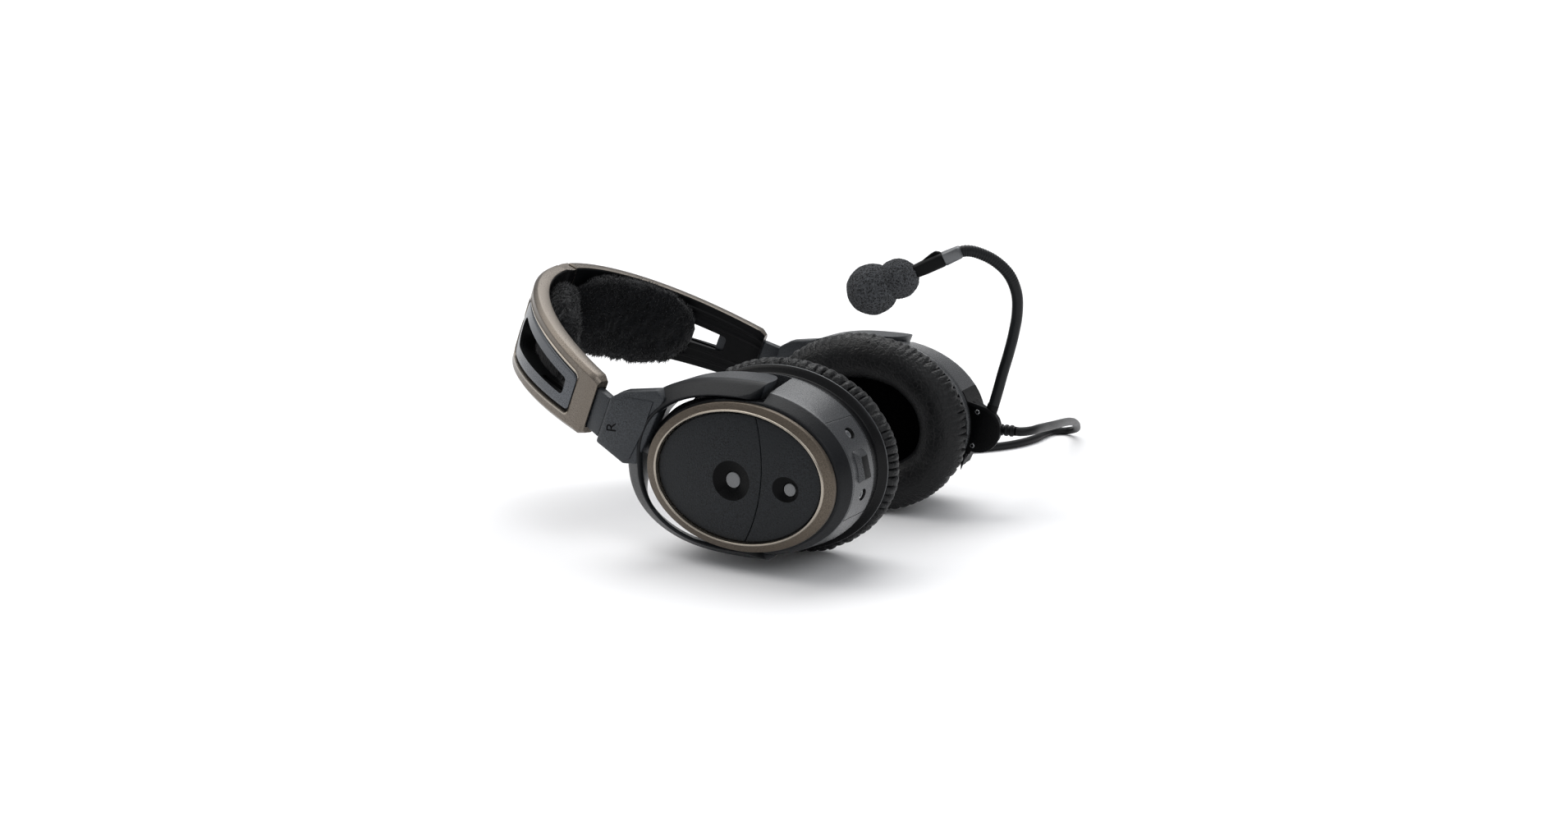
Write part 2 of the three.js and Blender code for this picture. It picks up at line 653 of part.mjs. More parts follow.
function windscreen(inward) {
  const balls = [WINDSCREEN.small, WINDSCREEN.large].map(([x, y, z, radius]) => (
    new THREE.SphereGeometry(radius, 18, 11).translate(x, y, z)
  ));
  const sleeve = beam(between(MIC.from, MIC.to, 0.5), between(MIC.from, MIC.to, 1.01), MIC.halfWidth,
    MIC.halfHeight);
  const pocket = rod(MIC.to, inward, 10, 3.4, 14);
  return cut(join(...balls), sleeve, pocket);
}

// ---- Cable ----

const FLOOR = -43.8; // what the headset lies on, in this frame
const LOW = FLOOR + CABLE.radius + 0.2;
const COIL_BASE = FLOOR + 1.4;
const coilWidth = CABLE.radius * 2 * CABLE.coilWide;
const coilHeight = CABLE.radius * 2 * CABLE.coilHigh;
const coilTop = COIL_BASE + coilHeight;

const leadRoute = [
  [71.2, 65.8, -1.6], [72.7, 66.1, -1.7], [75, 68.4, -1.8], [76.8, 72.8, -2], [77.2, 80, -2.5],
  [75.9, 98, -5], [72.6, 123.6, -9], [67.5, 152.8, -14], [61, 183, -20], [54.4, 211, -26.6],
  [49.2, 232, -33], [44, 246, -38.4], [36.5, 251.2, LOW],
  [29.6, 246.5, LOW], [27.6, 236, LOW], [26.8, 222, LOW], [23, 207, LOW], [15.3, 192.5, LOW], [5, 180.5, LOW],
  [-9, 170.8, LOW], [-26, 165.6, LOW + 0.5], [-44.4, 164.5, LOW + 1.25],
];

function cableCoil() {
  const inner = CABLE.coilMean - coilWidth / 2;
  const outer = CABLE.coilMean + coilWidth / 2;
  const profile = [[inner, 0], [outer, 0], [outer, coilHeight], [inner, coilHeight], [inner, 0]];
  const ring = new THREE.LatheGeometry(profile.map(([r, h]) => new THREE.Vector2(r, h)), 32);
  const [x, y] = CABLE.coilCentre;
  return facingOut(closeSeam(ring.rotateX(Math.PI / 2).translate(x, y, COIL_BASE)));
}

function closeSeam(geometry) {
  geometry.deleteAttribute('normal');
  geometry.deleteAttribute('uv');
  return BufferGeometryUtils.mergeVertices(geometry, 1e-3);
}

// A strap round the coil's section, where the turns run along X.
function coilTie() {
  const [x, y] = CABLE.coilCentre;
  const near = y + CABLE.coilMean - coilWidth / 2;
  const far = near + coilWidth;
  const outside = box(x - 5, x + 5, near - 2.6, far + 1.6, FLOOR + 0.1, coilTop + 1.3);
  return cut(outside, box(x - 9, x + 9, near - 1.6, far + 0.6, COIL_BASE - 0.3, coilTop + 0.3));
}

function turned(profile, sides, axis, start) {
  const body = new THREE.LatheGeometry(profile.map(([r, h]) => new THREE.Vector2(r, h)), sides);
  const direction = new THREE.Vector3(...axis).normalize();
  body.applyQuaternion(new THREE.Quaternion().setFromUnitVectors(new THREE.Vector3(0, 1, 0), direction));
  return facingOut(closeSeam(body.translate(...start)));
}

function strainRelief() {
  const profile = [
    [0, 0], [2.5, 0], [2.5, 6], [3.1, 6.3], [3.1, 7.6], [2.5, 8], [2.5, 8.6], [3, 9], [3, 10.2], [2.5, 10.6],
    [2.5, 11.2], [2.8, 11.6], [2.8, 12.6], [0, 13.6],
  ];
  return turned(profile, 12, [1, 0, 0], [RELIEF.fromX, RELIEF.y, RELIEF.z]);
}

// The plug lies on the floor beside the coil, its mouth towards the headset.
const PLUG = { x: -118, y: 222, radius: 6, boot: 15, body: 34 };
const plugAxis = [0, -1, 0];
const plugAt = (depth) => [PLUG.x, PLUG.y - depth, FLOOR + PLUG.radius + 0.1];

const tailRoute = [
  [-93.5, 213.4, COIL_BASE + 3 * CABLE.radius], [-94.6, 221, LOW + 3.8], [-98.5, 230.5, LOW + 1.6],
  [-105.5, 236.5, LOW + 0.4], [-113, 234.8, LOW + 1.2], [-117.2, 228.6, LOW + 3], [-118, 222.5, FLOOR + 6.1],
];

function plugBoot() {
  return turned([[0, 0], [2.6, 0], [3.4, 3], [4.4, PLUG.boot], [0, PLUG.boot]], 14, plugAxis, plugAt(0));
}

function plugSleeve() {
  const end = PLUG.body;
  const wall = PLUG.radius;
  const profile = [
    [4.8, 0], [wall - 0.6, 0], [wall - 0.2, 1], [wall - 0.2, 6], [wall, 6.5], [wall, 17], [wall - 0.8, 18],
    [wall - 0.8, end - 0.5], [wall - 1.1, end], [4, end], [4, 2.4], [4.8, 2.4], [4.8, 0],
  ];
  return turned(profile, 20, plugAxis, plugAt(PLUG.boot + GAP));
}

function contactInsert() {
  const start = plugAt(PLUG.boot + 4);
  let insert = rod(start, plugAxis, 22, 3.7, 16);
  for (let i = 0; i < 6; i += 1) {
    const angle = (i / 6) * 2 * Math.PI;
    const pin = rod([start[0] + 2.3 * Math.cos(angle), start[1] - 21, start[2] + 2.3 * Math.sin(angle)],
      plugAxis, 6, 0.45, 6);
    insert = join(insert, pin);
  }
  return insert;
}

function addCable(group) {
  add(group, 'cable_strain_relief', strainRelief(), RUBBER);
  add(group, 'cable_lead', sweep(leadRoute, CABLE.radius, 58, 8), RUBBER);
  add(group, 'cable_coil', cableCoil(), RUBBER);
  add(group, 'coil_tie', coilTie(), BLACK);
  add(group, 'cable_tail', sweep(tailRoute, CABLE.radius, 14, 8), RUBBER);
  add(group, 'plug_boot', plugBoot(), RUBBER);
  add(group, 'plug_sleeve', plugSleeve(), STEEL);
  add(group, 'plug_contact_insert', contactInsert(), BRASS);
}

// ---- Assembly ----

function sideGroup(sign) {
  const group = new THREE.Group();
  group.position.y = sign * CUP.pivotFromMiddle;
  group.scale.y = sign;
  headset.add(group);
  return group;
}

function bandGroup(sign) {
  const group = new THREE.Group();
  group.position.set(BAND.originX, 0, BAND.originZ);
  group.rotation.y = THREE.MathUtils.degToRad(BAND.lean);
  group.scale.y = sign;
  headset.add(group);
  return group;
}

const headset = new THREE.Group();

const leftCup = sideGroup(1);
addCup(leftCup, 'left', LEFT_WINDOW_Z);
addBoomModule(leftCup);
addYoke(sideGroup(1), 'left');
addBandHalf(bandGroup(1), 'left');

const rightCup = sideGroup(-1);
addCup(rightCup, 'right', RIGHT_WINDOW_Z);
addBlankCover(rightCup);
addYoke(sideGroup(-1), 'right');
addBandHalf(bandGroup(-1), 'right');

const crown = bandGroup(1);
add(crown, 'crown_hinge_pin', rod([hingeCentre().x, 0, -21], [0, 0, 1], 42, HINGE.pin), STEEL);
add(crown, 'crown_torsion_spring', torsionSpring(), STEEL);

addBoom(headset);

addCable(headset);

// The headset without its cable is centred over the origin, and its cushions lie on z = 0.
headset.position.set(PIVOT_X, 0, -FLOOR);

export default headset;
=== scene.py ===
import math
import random

import bmesh
import bpy
import numpy as np
from mathutils import Matrix, Vector, noise


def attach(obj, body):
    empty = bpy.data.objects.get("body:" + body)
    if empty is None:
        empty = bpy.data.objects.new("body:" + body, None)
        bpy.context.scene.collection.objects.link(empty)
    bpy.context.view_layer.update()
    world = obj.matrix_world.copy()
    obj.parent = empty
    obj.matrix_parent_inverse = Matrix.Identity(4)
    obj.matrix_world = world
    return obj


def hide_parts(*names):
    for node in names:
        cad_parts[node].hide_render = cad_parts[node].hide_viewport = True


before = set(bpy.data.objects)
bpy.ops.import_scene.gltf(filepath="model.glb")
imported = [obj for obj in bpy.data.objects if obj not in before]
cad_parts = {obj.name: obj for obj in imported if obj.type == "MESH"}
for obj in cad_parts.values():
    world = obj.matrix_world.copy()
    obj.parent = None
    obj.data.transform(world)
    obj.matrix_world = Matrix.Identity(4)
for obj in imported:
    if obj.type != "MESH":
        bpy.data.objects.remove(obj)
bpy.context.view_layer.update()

SHIFT = np.array((46.55, 0.0, 43.8))  # row frame's origin, from the fork pivots
MM = 0.001
PIVOT_Y = 63.3
FLOOR_Z = -43.8


def row(points):
    return (np.asarray(points, float) + SHIFT) * MM


def link_object(name, data):
    obj = bpy.data.objects.new(name, data)
    bpy.context.scene.collection.objects.link(obj)
    return obj


def circle(count):
    """Angles evenly spaced round a full turn."""
    return np.linspace(0, 2 * math.pi, count, endpoint=False)


# ---- Camera ----

CAMERA_AT = (328.8, -649.7, 166.1)
CAMERA_AZIMUTH = math.radians(28.47)
CAMERA_ELEVATION = math.radians(11.81)


def add_camera():
    data = bpy.data.cameras.new("camera")
    data.lens = 35.80
    data.sensor_width = 36.0
    data.clip_start = 0.01
    camera = link_object("camera", data)
    camera.location = row(CAMERA_AT)
    camera.rotation_euler = (math.pi / 2 - CAMERA_ELEVATION, 0.0, CAMERA_AZIMUTH)
    bpy.context.scene.camera = camera


add_camera()

# ---- Materials ----


class Nodes:
    """A material's node tree, with short calls for what the finishes below share."""

    def __init__(self, name):
        self.material = bpy.data.materials.new(name)
        self.material.use_nodes = True
        self.tree = self.material.node_tree
        self.tree.nodes.clear()
        self.output = self.new("ShaderNodeOutputMaterial")
        self.shader = self.new("ShaderNodeBsdfPrincipled")
        self.link(self.shader.outputs[0], self.output.inputs[0])
        self.place = self.new("ShaderNodeTexCoord").outputs["Object"]

    def new(self, kind, **values):
        node = self.tree.nodes.new(kind)
        for key, value in values.items():
            setattr(node, key, value)
        return node

    def link(self, a, b):
        self.tree.links.new(a, b)

    def stretched(self, scale):
        mapping = self.new("ShaderNodeMapping")
        mapping.inputs["Scale"].default_value = scale
        self.link(self.place, mapping.inputs["Vector"])
        return mapping.outputs[0]

    def noise(self, size_mm, detail=2.0, place=None):
        node = self.new("ShaderNodeTexNoise")
        node.inputs["Scale"].default_value = 1000.0 / size_mm
        node.inputs["Detail"].default_value = detail
        self.link(place or self.place, node.inputs["Vector"])
        return node.outputs["Fac"]

    def cells(self, size_mm, feature="F1"):
        node = self.new("ShaderNodeTexVoronoi", feature=feature)
        node.inputs["Scale"].default_value = 1000.0 / size_mm
        self.link(self.place, node.inputs["Vector"])
        return node.outputs["Distance"]

    def span(self, value, low, high, to_low=0.0, to_high=1.0):
        node = self.new("ShaderNodeMapRange")
        sockets = ("From Min", "From Max", "To Min", "To Max")
        for socket, number in zip(sockets, (low, high, to_low, to_high)):
            node.inputs[socket].default_value = number
        self.link(value, node.inputs["Value"])
        return node.outputs[0]

    def sway(self, value, to_low=0.0, to_high=1.0):
        """The usual range of a noise, stretched between two values."""
        return self.span(value, 0.3, 0.7, to_low, to_high)

    def mix(self, factor, a, b):
        node = self.new("ShaderNodeMix", data_type="RGBA")
        self.link(factor, node.inputs["Factor"])
        for socket, value in ((node.inputs["A"], a), (node.inputs["B"], b)):
            if isinstance(value, tuple):
                socket.default_value = (*value, 1.0)
            else:
                self.link(value, socket)
        return node.outputs["Result"]

    def add(self, a, b, kind="ADD"):
        node = self.new("ShaderNodeMath", operation=kind)
        for socket, value in ((node.inputs[0], a), (node.inputs[1], b)):
            if isinstance(value, (int, float)):
                socket.default_value = value
            else:
                self.link(value, socket)
        return node.outputs[0]

    def bump(self, height, depth_mm):
        node = self.new("ShaderNodeBump")
        node.inputs["Distance"].default_value = depth_mm * MM
        node.inputs["Strength"].default_value = 1.0
        self.link(height, node.inputs["Height"])
        self.drive("Normal", node.outputs[0])

    def drive(self, socket, value):
        self.link(value, self.shader.inputs[socket])

    def fix(self, socket, value):
        """A value that is the same all over the surface, on the shader's own socket."""
        self.shader.inputs[socket].default_value = value


def tone(color, factor):
    return tuple(min(1.0, c * factor) for c in color)


def grained(name, color, rough, metal=0.0, grain=0.6, depth=0.05, speckle=0.35, spread=0.1, specular=0.3):
    """Moulded or painted surface with a fine grain: speckled colour, uneven gloss and a pebbled bump."""
    n = Nodes(name)
    fine = n.noise(grain)
    broad = n.noise(28.0, 3.0)
    speckled = n.mix(n.span(fine, 0.36, 0.64), tone(color, 1.0 - speckle), tone(color, 1.0 + speckle))
    n.drive("Base Color", n.mix(n.sway(broad), speckled, tone(color, 1.0)))
    n.drive("Roughness", n.add(n.sway(fine, rough - spread, rough + spread), n.sway(broad, -0.03, 0.03)))
    n.fix("Metallic", metal)
    n.fix("Specular IOR Level", specular)
    n.bump(fine, depth)
    return n.material


def leather(name, color, rough, pore=1.1, depth=0.12):
    n = Nodes(name)
    pebbles = n.cells(pore)
    creases = n.cells(pore * 2.6, "DISTANCE_TO_EDGE")
    soft = n.noise(9.0, 4.0)
    height = n.add(n.span(pebbles, 0.0, 0.6, 1.0, 0.0), n.span(creases, 0.0, 0.12, 0.0, 0.9))
    n.drive("Base Color", n.mix(n.sway(soft), tone(color, 0.8), tone(color, 1.35)))
    n.drive("Roughness", n.add(n.span(pebbles, 0.0, 0.6, rough, rough + 0.14), n.sway(soft, -0.07, 0.07)))
    n.fix("Specular IOR Level", 0.24)
    n.bump(n.add(height, n.sway(soft, 0.0, 2.0)), depth)
    return n.material


def cloth(name, color, thread=0.5, rough=0.9, depth=0.12, specular=0.2):
    """Plain weave, from two sets of waves that cross."""
    n = Nodes(name)
    waves = []
    for direction in ("X", "Z"):
        wave = n.new("ShaderNodeTexWave", bands_direction=direction)
        wave.inputs["Scale"].default_value = 314.0 / thread  # a scale of 1 has bands 0.314 m apart
        n.link(n.place, wave.inputs["Vector"])
        waves.append(wave.outputs["Fac"])
    weave = n.add(waves[0], waves[1], "MULTIPLY")
    n.drive("Base Color", n.mix(weave, tone(color, 0.45), tone(color, 1.3)))
    n.drive("Roughness", n.sway(n.noise(3.0), rough - 0.06, rough + 0.06))
    n.fix("Specular IOR Level", specular)
    n.bump(weave, depth)
    return n.material


def fuzzy(name, color, tuft=1.6, depth=0.6, sheen=0.35):
    """Short pile."""
    n = Nodes(name)
    pile = n.noise(tuft, 4.0)
    lit = n.add(n.span(pile, 0.35, 0.68), n.sway(n.noise(tuft * 5), 0.5, 1.1), "MULTIPLY")
    n.drive("Base Color", n.mix(lit, tone(color, 0.35), tone(color, 2.2)))
    n.drive("Roughness", n.sway(pile, 0.8, 1.0))
    n.fix("Specular IOR Level", 0.1)
    n.fix("Sheen Weight", sheen)
    n.fix("Sheen Roughness", 0.5)
    n.bump(pile, depth)
    return n.material


def foam_look(name, color, pore=0.9, depth=0.5):
    """Open-cell foam: dark pores between lit walls."""
    n = Nodes(name)
    grit = n.noise(pore * 0.8, 3.0)
    open_cell = n.add(n.span(n.cells(pore), 0.1, 0.5), n.sway(grit, 0.4, 1.0), "MULTIPLY")
    n.drive("Base Color", n.mix(open_cell, tone(color, 0.08), tone(color, 2.4)))
    n.drive("Roughness", n.sway(grit, 0.85, 1.0))
    n.fix("Specular IOR Level", 0.1)
    n.fix("Sheen Weight", 0.08)
    n.bump(open_cell, depth)
    return n.material


def brushed(name, color, rough=0.32, metal=1.0):
    """Metal with fine lines along X."""
    n = Nodes(name)
    lines = n.noise(0.25, 2.0, n.stretched((0.08, 1.0, 1.0)))
    n.drive("Base Color", n.mix(lines, tone(color, 0.8), tone(color, 1.1)))
    smudge = n.sway(n.noise(6.0, 3.0), -0.05, 0.05)
    n.drive("Roughness", n.add(n.sway(lines, rough - 0.08, rough + 0.08), smudge))
    n.fix("Metallic", metal)
    n.bump(lines, 0.01)
    return n.material


BRONZE = grained("bronze_paint", (0.150, 0.130, 0.109), 0.33, 0.75, 0.4, 0.05, 0.5, 0.08)
BRONZE_DARK = grained("bronze_ring", (0.098, 0.081, 0.064), 0.38, 0.75, 0.4, 0.05, 0.5, 0.07)
# Painted highlight: a lighter bronze on the bezel's inner bead and the arm window's lip, standing in for the
# light caught there
BRONZE_HIGHLIGHT = grained("bronze_painted_highlight", (0.33, 0.295, 0.25), 0.22, 0.9, 0.6, 0.008, 0.1, 0.05)
WALL_GREY = grained("satin_grey_wall", (0.040, 0.042, 0.045), 0.28, 0.3, 0.45, 0.05, 0.45, 0.07, 0.6)
FORK_GREY = grained("fork_grey", (0.026, 0.029, 0.033), 0.36, 0.15, 0.65, 0.16, 0.6, 0.08, 0.3)
# Painted shade: a near-black copy of the graphite plastic, put on the cup's chamfer and the fork's outer
# face where they look dark under the lights
CHAMFER_SHADE = grained("painted_shade_chamfer", (0.0055, 0.0062, 0.0074), 0.36, 0.0, 0.55, 0.08, 0.5, 0.08, 0.16)
PLATE_BLACK = grained("plate_grained", (0.0078, 0.0092, 0.0108), 0.33, 0.0, 0.6, 0.24, 0.8, 0.08, 0.18)
# Painted shade in the plates' port dishes, darker than the plate; also the own deep black of the module's
# face and the mic clip
DEEP_BLACK_AND_DISH_SHADE = grained("deep_black_and_dish_shade", (0.0010, 0.0011, 0.0013), 0.36, 0.0, 0.6, 0.05, 0.3, 0.08, 0.07)
INSERT_GREY = grained("insert_satin", (0.075, 0.081, 0.090), 0.30, 0.55, 0.5, 0.03, 0.3, 0.05, 0.4)
SOFT_BLACK = grained("matt_black", (0.0025, 0.0027, 0.0031), 0.46, 0.0, 0.7, 0.02, 0.3, 0.08, 0.10)
GLOSS_BLACK = grained("satin_black_ring", (0.0024, 0.0026, 0.003), 0.30, 0.0, 0.9, 0.006, 0.2, 0.05, 0.16)
# Painted highlight: a lighter grey for the flange's outer rim, standing in for the thin bright line the
# light draws on that glossy black edge
RIM_HIGHLIGHT = grained("painted_highlight_rim", (0.055, 0.058, 0.062), 0.3, 0.3, 0.7, 0.006, 0.1, 0.05)
LEATHER = leather("black_leather", (0.0034, 0.0037, 0.0042), 0.32)
FLEECE = fuzzy("black_fleece", (0.0040, 0.0044, 0.0052), sheen=0.14)
FOAM = foam_look("grey_foam", (0.036, 0.038, 0.041), 1.1, 1.2)
SCRIM = cloth("dark_scrim", (0.0010, 0.0010, 0.0011), 0.8, specular=0.02)
SCREEN = cloth("port_screen", (0.24, 0.245, 0.25), 0.35, 0.6, 0.05)
RUBBER = grained("cable_rubber", (0.0060, 0.0064, 0.0070), 0.42, 0.0, 0.5, 0.02, 0.3, 0.08, 0.16)
BOOM_GREY = grained("boom_sleeve", (0.0070, 0.0078, 0.0088), 0.38, 0.0, 0.5, 0.02, 0.3, 0.08, 0.17)
STEEL = brushed("steel", (0.50, 0.51, 0.52))
MIC_METAL = brushed("mic_metal", (0.125, 0.129, 0.134), 0.33, 0.85)
CONTACT = brushed("contact_plating", (0.75, 0.60, 0.30), 0.25)
BOARD = grained("board_mask", (0.02, 0.10, 0.05), 0.4, 0.0, 2.0, 0.02, 0.3, 0.06)

# ---- Mesh tools ----


class Solid:
    """Vertices and faces collected in millimetres, in the pivots' frame."""

    def __init__(self):
        self.verts = []
        self.faces = []
        self.marks = []

    def add(self, verts, faces, mark=0):
        start = len(self.verts)
        self.verts.extend(np.asarray(verts, float).reshape(-1, 3).tolist())
        self.faces.extend([[i + start for i in face] for face in faces])
        self.marks.extend([mark] * len(faces) if isinstance(mark, int) else mark)
        return self

    def marked(self, mark):
        """All its faces with one number, which is their look's place in the piece's list."""
        self.marks = [mark] * len(self.marks)
        return self

    def loft(self, rings, closed=False, marks=None):
        """Rings of equal length, capped at both ends, or joined last to first."""
        rings = np.asarray(rings, float)
        count, sides = rings.shape[:2]
        faces = []
        face_marks = []
        for i in range(count if closed else count - 1):
            a, b = i * sides, (i + 1) % count * sides
            for j in range(sides):
                k = (j + 1) % sides
                faces.append((a + j, a + k, b + k, b + j))
                face_marks.append(marks[i] if marks else 0)
        if not closed:
            faces.append(tuple(range(sides))[::-1])
            faces.append(tuple(range((count - 1) * sides, count * sides)))
            face_marks += [marks[0] if marks else 0, marks[-1] if marks else 0]
        return self.add(rings, faces, face_marks)

    def slab(self, top, bottom):
        """A closed sheet between two grids of the same shape."""
        top, bottom = np.asarray(top, float), np.asarray(bottom, float)
        rows, cols = top.shape[:2]
        size = rows * cols
        faces = []
        for i in range(rows - 1):
            for j in range(cols - 1):
                a = i * cols + j
                faces.append((a, a + 1, a + cols + 1, a + cols))
                faces.append((size + a, size + a + cols, size + a + cols + 1, size + a + 1))
        edge = list(range(cols))
        edge += [i * cols + cols - 1 for i in range(1, rows)]
        edge += [(rows - 1) * cols + j for j in range(cols - 2, -1, -1)]
        edge += [i * cols for i in range(rows - 2, 0, -1)]
        for a, b in zip(edge, edge[1:] + edge[:1]):
            faces.append((b, a, size + a, size + b))
        return self.add(np.concatenate([top.reshape(-1, 3), bottom.reshape(-1, 3)]), faces)


def finish_mesh(mesh, crease):
    mesh.shade_smooth()
    mesh.set_sharp_from_angle(angle=math.radians(crease))


def apply_modifiers(obj):
    graph = bpy.context.evaluated_depsgraph_get()
    mesh = bpy.data.meshes.new_from_object(obj.evaluated_get(graph))
    old = obj.data
    obj.modifiers.clear()
    obj.data = mesh
    bpy.data.meshes.remove(old)


def solid_mesh(name, solid, looks, merge, dissolve=False):
    """A mesh with its doubled vertices merged and its faces turned outward."""
    mesh = bpy.data.meshes.new(name)
    mesh.from_pydata(row(solid.verts).tolist(), [], solid.faces)
    for look in looks:
        mesh.materials.append(look)
    for face, mark in zip(mesh.polygons, solid.marks):
        face.material_index = mark
    work = bmesh.new()
    work.from_mesh(mesh)
    bmesh.ops.remove_doubles(work, verts=work.verts, dist=merge)
    if dissolve:
        bmesh.ops.dissolve_degenerate(work, edges=work.edges, dist=1e-6)
    bmesh.ops.recalc_face_normals(work, faces=work.faces)
    work.to_mesh(mesh)
    work.free()
    return mesh


def add_bevel(obj, width, segments):
    modifier = obj.modifiers.new("bevel", "BEVEL")
    modifier.width = width * MM
    modifier.segments = segments
    modifier.limit_method = "ANGLE"
    modifier.angle_limit = math.radians(32)
    modifier.harden_normals = False


def cut_away(obj, tool, looks, solver):
    tool_obj = link_object("tool", solid_mesh("tool", tool, looks, 1e-6))
    boolean = obj.modifiers.new("cut", "BOOLEAN")
    boolean.operation = "DIFFERENCE"
    boolean.solver = solver
    boolean.object = tool_obj
    bpy.context.view_layer.update()
    apply_modifiers(obj)
    bpy.data.objects.remove(tool_obj)


def register(obj, body, replaces):
    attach(obj, body)
    if replaces:
        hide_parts(*replaces)


def piece(name, solid, looks, body, slot, replaces=(), crease=35.0, bevel=0.0, cuts=(), segments=2,
          solver="EXACT"):
    """A finished object from a solid: bevelled, cut, shaded, and tied to its body."""
    looks = looks if isinstance(looks, list) else [looks]
    obj = link_object(name, solid_mesh(name, solid, looks, 2e-6, dissolve=True))
    if bevel:
        add_bevel(obj, bevel, segments)
    for cut in cuts:
        cut_away(obj, cut, looks, solver)
    bpy.context.view_layer.update()
    if obj.modifiers:
        apply_modifiers(obj)
    finish_mesh(obj.data, crease)
    register(obj, body, replaces)
    return obj


NAME = {1: "left", -1: "right"}


def sided(side, name, solid, looks, body, slot, replaces=(), crease=35.0, **more):
    """A piece that each side has, with left_ or right_ before its name, its body's and its CAD nodes'."""
    start = NAME[side] + "_"
    replaces = [start + node for node in replaces]
    return piece(start + name, solid, looks, start + body, slot, replaces, crease, **more)


def on_side(points, side):
    """From a cup's own frame (X, outward, Z) to the pivots' frame."""
    points = np.asarray(points, float)
    out = points.copy()
    out[..., 1] = side * (PIVOT_Y + points[..., 1])
    return out


def smooth(value, low, high):
    t = np.clip((np.asarray(value, float) - low) / (high - low), 0, 1)
    return t * t * (3 - 2 * t)


def catmull(points, count):
    """Evenly spaced points on a smooth curve through the given ones."""
    p = np.asarray(points, float)
    knots = np.concatenate([[0], np.cumsum(np.linalg.norm(np.diff(p, axis=0), axis=1) ** 0.5)])
    padded = np.vstack([2 * p[0] - p[1], p, 2 * p[-1] - p[-2]])
    out = []
    for i in range(len(p) - 1):
        p0, p1, p2, p3 = padded[i:i + 4]
        t0 = knots[i] - np.linalg.norm(p1 - p0) ** 0.5
        t1, t2 = knots[i], knots[i + 1]
        t3 = t2 + np.linalg.norm(p3 - p2) ** 0.5
        for t in np.linspace(t1, t2, 24, endpoint=i == len(p) - 2):
            a1 = (t1 - t) / (t1 - t0) * p0 + (t - t0) / (t1 - t0) * p1
            a2 = (t2 - t) / (t2 - t1) * p1 + (t - t1) / (t2 - t1) * p2
            a3 = (t3 - t) / (t3 - t2) * p2 + (t - t2) / (t3 - t2) * p3
            b1 = (t2 - t) / (t2 - t0) * a1 + (t - t0) / (t2 - t0) * a2
            b2 = (t3 - t) / (t3 - t1) * a2 + (t - t1) / (t3 - t1) * a3
            out.append((t2 - t) / (t2 - t1) * b1 + (t - t1) / (t2 - t1) * b2)
    out = np.array(out)
    along = np.concatenate([[0], np.cumsum(np.linalg.norm(np.diff(out, axis=0), axis=1))])
    at = np.linspace(0, along[-1], count)
    return np.stack([np.interp(at, along, out[:, k]) for k in range(3)], -1)


def tube_rings(line, radii, sides):
    """Rings square to a line, turned as little as possible from one to the next."""
    line = np.asarray(line, float)
    tangents = np.gradient(line, axis=0)
    tangents /= np.linalg.norm(tangents, axis=1)[:, None]
    up = np.cross(tangents[0], (0.3, 0.2, 0.9))
    up /= np.linalg.norm(up)
    angles = circle(sides)
    rings = []
    for point, tangent, radius in zip(line, tangents, radii):
        up = up - tangent * (up @ tangent)
        up /= np.linalg.norm(up)
        other = np.cross(tangent, up)
        rings.append(point + radius * (np.cos(angles)[:, None] * up + np.sin(angles)[:, None] * other))
    return np.array(rings)


def spokes_round(axis, sides):
    """Unit vectors all round an axis, square to it."""
    up = np.cross(axis, (0.31, 0.17, 0.93))
    up /= np.linalg.norm(up)
    other = np.cross(axis, up)
    angles = circle(sides)
    return np.cos(angles)[:, None] * up + np.sin(angles)[:, None] * other


def turned(profile, sides, start, axis):
    """Rings of a turned profile of (radius, distance along the axis)."""
    axis = np.asarray(axis, float) / np.linalg.norm(axis)
    start = np.asarray(start, float)
    spokes = spokes_round(axis, sides)
    return np.array([start + axis * along + spokes * radius for radius, along in profile])


# ---- Cable: one free cord from the strain relief to the plug ----

CORD_R = 2.25
LOW = FLOOR_Z + CORD_R + 0.2
COIL_BASE = FLOOR_Z + 1.4
COIL_CENTRE = (-62.0, 196.0)
COIL_RADII = (31.5, 27.0, 22.5)
TOP_LAYER = COIL_BASE + 3 * CORD_R
BOTTOM_LAYER = COIL_BASE + CORD_R

LEAD = [
    (71.2, 65.8, -1.6), (72.7, 66.1, -1.7), (75, 68.4, -1.8), (76.8, 72.8, -2), (77.2, 80, -2.5),
    (75.9, 98, -5), (72.6, 123.6, -9), (67.5, 152.8, -14), (61, 183, -20), (54.4, 211, -26.6),
    (49.2, 232, -33), (44, 246, -38.4), (36.5, 251.2, LOW), (29.6, 246.5, LOW), (27.6, 236, LOW),
    (26.8, 222, LOW), (23, 207, LOW), (15.3, 192.5, LOW), (5, 180.5, LOW), (-9, 170.8, LOW),
    (-26, 165.6, LOW + 0.5), (-44.4, 164.5, LOW + 1.25),
]
TAIL = [
    (-93.5, 213.4, TOP_LAYER), (-94.6, 221, LOW + 3.8), (-98.5, 230.5, LOW + 1.6),
    (-105.5, 236.5, LOW + 0.4), (-113, 234.8, LOW + 1.2), (-117.2, 228.6, LOW + 3),
    (-118, 222.5, FLOOR_Z + 6.1),
]


